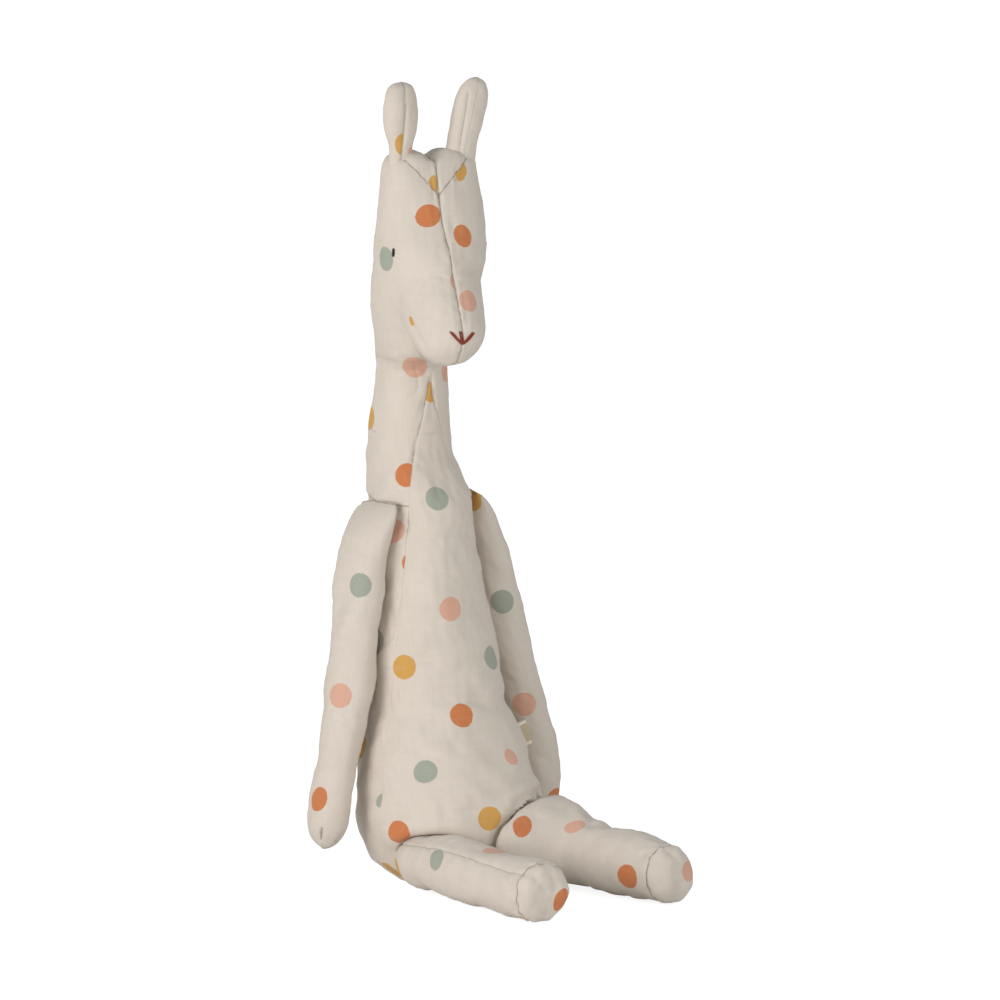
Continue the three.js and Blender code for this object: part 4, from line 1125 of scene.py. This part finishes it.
def make_leg(side):
    name = SIDES[side]
    seam_at = TOE_SEAM[side]
    full, tip = seam_at + 3, LEG_ROWS[side][-1][0]
    along = np.concatenate([
        -THIGH * np.cos(np.linspace(0, 0.5 * math.pi, 22))[:-1],
        np.linspace(0, seam_at - 3, 92)[:-1],
        np.linspace(seam_at - 3, full, 15)[:-1],
        full + (tip - full) * np.sin(np.linspace(0, 0.5 * math.pi, 22)),
    ])[:, None]
    hip, axis, forward, _ = leg_frame(side)
    outer, inner, low, high = columns_of(LEG_ROWS[side], along)
    angle = angles_round(104)
    aside = power(np.sin(angle), LIMB_SQUARE)
    x = np.where(aside * side > 0, outer, inner) * aside
    far = along + 0 * x
    points = hip * np.array([1, 1, 0]) + forward * far[..., None] + axis * x[..., None]
    points[..., 2] = (low + high) / 2 - (high - low) / 2 * power(np.cos(angle), LIMB_SQUARE)
    skin = Skin(f"leg_{name}_cover", points)
    skin.slack(70 + side, tall=0.5, middle=0.28, fine=0.08, mask=smooth((far + 15) / 14))
    skin.seam(0, far - seam_at, strength=0.8, depth=0.6, width=0.9, pull=0.5, reach=4.0, pucker=0.35)
    top, clear = LEG_SEAM[side]
    turn = angle - math.radians(top)
    lengthwise = np.where(far < seam_at, np.arctan2(np.sin(turn), np.cos(turn)) * LEG_RADIUS, FAR)
    skin.seam(1, lengthwise, strength=clear, depth=0.5, width=1.0, pull=0.4)
    skin.panels["upper"] = lengthwise
    skin.panels["lower"] = -lengthwise
    skin.panels["shaft"] = seam_at - far
    skin.panels["hoof"] = far - seam_at
    skin.mark(LEG_FOLDS[side], LEG_DOTS[side])
    skin.scatter(80 + side, 29)
    skin.rest_on_floor()
    made = skin.build(linen)
    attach(made, f"leg_{name}")
    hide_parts(f"leg_cover_{name}", f"hoof_cap_{name}", f"leg_filling_{name}")


for side in SIDES:
    make_leg(side)


def tube(name, path, radius, columns):
    """A closed tube along a path in millimetres, its radius given at each point."""
    tangent = unit(np.gradient(path, axis=0))
    side = np.cross(tangent, [0.02, 0.03, 1.0])
    upright = np.linalg.norm(side, axis=-1, keepdims=True) < 0.2
    side = unit(np.where(upright, np.cross(tangent, [1.0, 0, 0]), side))
    up = np.cross(side, tangent)
    angle = angles_round(columns)[:, None]
    ring = np.cos(angle) * side[:, None] + np.sin(angle) * up[:, None]
    return Skin(name, path[:, None] + ring * radius[:, None, None])


def rounded(count, radius, tip_share=0.12):
    """Radii along a tube that close over at both ends."""
    t = np.linspace(0, 1, count)
    edge = np.minimum(t, 1 - t) / tip_share
    return radius * np.sqrt(1 - (1 - np.clip(edge, 0.02, 1)) ** 2)


def curve_points(points, count):
    """A smooth line through given points."""
    points = np.array(points, float)
    t = running_length(points)
    return between(np.column_stack([t, points]), np.linspace(0, t[-1], count))


def make_tail():
    root = hinge("tail_swing")
    length, sweep, height, behind = 58, math.radians(62), 4.0, 8
    bend = length / (2 * sweep)
    path = [root, root + (0, behind, -8.8)]
    for share in (0.35, 0.6, 0.8, 1):
        turn = sweep * share
        aside, back = bend * (1 - math.cos(turn)) * 1.5, bend * math.sin(turn) * 0.9
        path.append([aside, root[1] + back + behind, height])
    count, columns, seam_radius = 90, 36, 3.4
    share = np.linspace(0, 1, count)
    end = np.clip((1 - share) / 0.07, 0.02, 1)
    radii = (3.3 + 0.7 * share**2) * np.sqrt(1 - (1 - end) ** 2)
    skin = tube("tail_cover", curve_points(path, count), radii, columns)
    skin.slack(90, tall=0.2, middle=0.15, fine=0.06)
    angle = angles_round(columns)
    seam_at = np.where(np.cos(angle) > 0, np.sin(angle) * seam_radius, FAR)
    skin.seam(0, seam_at, strength=0.6, depth=0.4, width=0.7)
    skin.rest_on_floor()
    skin.scatter(91, 26, 3.6)
    made = skin.build(linen)
    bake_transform(made)
    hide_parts("tail")


make_tail()


def make_label():
    """A bare tape folded once, its two ends sewn into the side seam."""
    root = hinge("label_flap")
    up = unit(np.array(joints["label_flap"]["axis"]))
    out = unit(np.array([1.0, 0, 0]) - up[0] * up)
    across = np.cross(up, out)
    tall, reach, thick, gap = 11.6, 5.8, 0.45, 0.35
    fold_at, bend = reach - gap, gap + thick / 2
    straight = fold_at + 0.9
    line = [(fold_at - straight * (1 - k / 11), -bend) for k in range(12)]
    for k in range(1, 9):
        turn = -math.pi / 2 + math.pi * k / 9
        line.append((fold_at + bend * math.cos(turn), bend * math.sin(turn)))
    line = np.array(line + [(fold_at - straight * k / 11, bend) for k in range(12)])
    way = unit(np.gradient(line, axis=0))
    normal = np.stack([way[:, 1], -way[:, 0]], -1)
    section = np.concatenate([line + normal * thick / 2, (line - normal * thick / 2)[::-1]])
    levels = np.linspace(-tall / 2, tall / 2, 26)[:, None, None]
    ahead, aside = section[:, 0, None], section[:, 1, None]
    sway = 0.25 * np.sin(levels / tall * 5) * np.clip(ahead / reach, 0, 1)
    points = root + out * ahead + across * (aside + sway) + up * levels
    rings, columns = points.shape[:2]
    faces = quads_of(rings, columns).tolist()
    for k in range(len(line) - 1):
        low = [k, k + 1, columns - 2 - k, columns - 1 - k]
        faces.append(low[::-1])
        faces.append([(rings - 1) * columns + i for i in low])
    mesh = bpy.data.meshes.new("side_label_tape")
    mesh.from_pydata((points.reshape(-1, 3) * MM).tolist(), [], faces)
    cloth = np.zeros_like(points)
    cloth[..., 0] = running_length(section)
    cloth[..., 1] = levels[..., 0]
    put_attribute(mesh, "rest", points.reshape(-1, 3) * MM)
    put_attribute(mesh, "cloth", cloth.reshape(-1, 3) * MM)
    made = add_object(mesh, tape)
    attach(made, "label")
    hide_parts("side_label")


make_label()

# Nose: three stitches of doubled rust thread that meet at one point.
NOSE_FOOT = (462.6, 344.6)
NOSE_STITCHES = {
    "nose_stitch_right": ((450.6, 331.6), (456.5, 338.4)),
    "nose_stitch_middle": ((460.4, 331.2), (461.8, 338.0)),
    "nose_stitch_left": ((473.8, 332.2), (468.6, 338.6)),
}
STITCH_LIFT = 0.2


def make_nose():
    for name, pixels in NOSE_STITCHES.items():
        for strand, shift in (("a", -0.9), ("b", 0.9)):
            places = [(x + shift, y + 0.3 * shift) for x, y in pixels]
            places.append((NOSE_FOOT[0] + 0.5 * shift, NOSE_FOOT[1]))
            line = curve_points([head.hit(pixel) + TO_CAMERA * STITCH_LIFT for pixel in places], 22)
            made = tube(f"{name}_{strand}", line, rounded(22, 0.45), 12).build(rust_thread)
            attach(made, "head")
            if name == "nose_stitch_middle" and strand == "a":
                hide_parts("nose_stitches")


make_nose()

# Eyes: where the right one is seen, then the size and rows of each patch of thread, and how deep it sits.
EYE_PIXEL = (393.4, 253.6)
EYE_TALL = 3.7
EYE_WIDE = 1.35
EYE_ROWS = 9
EYE_SINK = {1: 0.3, -1: 0.0}


def make_eye(side):
    """A small upright patch of satin stitches in near-black thread."""
    name = SIDES[side]
    spot = to_head(head.hit(EYE_PIXEL)) * (-side, 1, 1)
    flat = head.points.reshape(-1, 3)
    nearest = np.argmin(np.linalg.norm(flat - from_head(spot), axis=-1))
    normal = outward(head.points).reshape(-1, 3)[nearest]
    centre = flat[nearest] - normal * EYE_SINK[side]
    up = unit(np.array([0, 0, 1.0]) - normal[2] * normal)
    across = np.cross(up, normal)
    s = np.linspace(-1, 1, 9)[:, None]
    for k in range(EYE_ROWS):
        t = (k + 0.5) / EYE_ROWS * 2 - 1
        reach = EYE_WIDE / 2 * math.sqrt(1 - t * t) + 0.12
        line = centre + up * (t * EYE_TALL / 2) + across * (reach * s) + normal * (0.28 * (1 - s * s) - 0.02)
        made = tube(f"eye_{name}_stitch_{k}", line, rounded(9, 0.3, 0.2), 8).build(black_thread)
        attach(made, "head")
        if k == 0:
            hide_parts(f"eye_{name}")


make_eye(-1)
make_eye(1)

# Floor, light and camera.
bpy.ops.mesh.primitive_plane_add(size=40, location=(0, 0, 0))
floor = bpy.context.active_object
floor.name = "floor"


def paper_white():
    """Paper that looks evenly bright to the camera and is plain matt paper to all other light."""
    nodes = Nodes(bpy.data.materials.new("paper_white"))
    nodes.tree.nodes.clear()
    lit = nodes.add("BsdfDiffuse", {"Color": (0.42, 0.42, 0.42, 1)})
    shown = nodes.add("AddShader", [lit, nodes.add("Emission", {"Strength": 0.86})])
    plain = nodes.add("BsdfDiffuse", {"Color": (0.88, 0.87, 0.85, 1)})
    direct = nodes.add("LightPath", output="Is Camera Ray")
    nodes.add("OutputMaterial", [nodes.add("MixShader", [direct, plain, shown])])
    return nodes.owner


def studio():
    """A pale surround that is white where the camera or a glossy ray sees it."""
    nodes = Nodes(bpy.data.worlds.new("studio"))
    nodes.tree.nodes.clear()
    ambient = nodes.add("Background", {"Color": (0.95, 0.98, 1.0, 1), "Strength": 0.46})
    white = nodes.add("Background", {"Strength": 1.0})
    direct = nodes.add("LightPath", output="Is Camera Ray")
    seen = nodes.math("MAXIMUM", direct, direct.beside("Is Glossy Ray"))
    nodes.add("OutputWorld", [nodes.add("MixShader", [seen, ambient, white])])
    return nodes.owner


floor.data.materials.append(paper_white())
bpy.context.scene.world = studio()

LEVEL_CAMERA = np.array([math.sin(AZIMUTH), -math.cos(AZIMUTH), 0.0])


def soft_lamp(name, ahead, aside, rise, distance, size, power_watts, colour, aim_height=0.17):
    """A round lamp whose way from the giraffe is so much towards the camera, to its right, and up."""
    data = bpy.data.lights.new(name, "AREA")
    data.shape = "DISK"
    data.size = size
    data.energy = power_watts
    data.color = colour
    lamp = link_object(name, data)
    aim = Vector((0, 0, aim_height))
    way = LEVEL_CAMERA * ahead + RIGHT * aside + np.array([0, 0, rise])
    lamp.location = aim + Vector(unit(way)) * distance
    lamp.rotation_euler = (aim - lamp.location).to_track_quat("-Z", "Y").to_euler()
    lamp.visible_camera = False


soft_lamp("key", 0.66, -0.74, 0.22, 2.4, 1.4, 33.5, (1.0, 0.985, 0.985))
soft_lamp("fill", 0.7, 0.72, 0.2, 3.0, 2.2, 17, (0.97, 0.985, 1.0))
soft_lamp("low", 0.88, 0.45, 0.14, 0.62, 0.24, 0.5, (1.0, 0.99, 0.97), 0.05)

camera_data = bpy.data.cameras.new("camera")
camera_data.sensor_width = SENSOR
camera_data.lens = SENSOR / 2 * DISTANCE / (PIXELS / 2 / PIXELS_PER_MM * MM)
camera_data.clip_end = 100
camera = link_object("camera", camera_data)
camera.location = Vector(EYE * MM)
camera.rotation_euler = Vector(-TO_CAMERA).to_track_quat("-Z", "Y").to_euler()
bpy.context.scene.camera = camera
bpy.context.scene.view_settings.view_transform = "Standard"
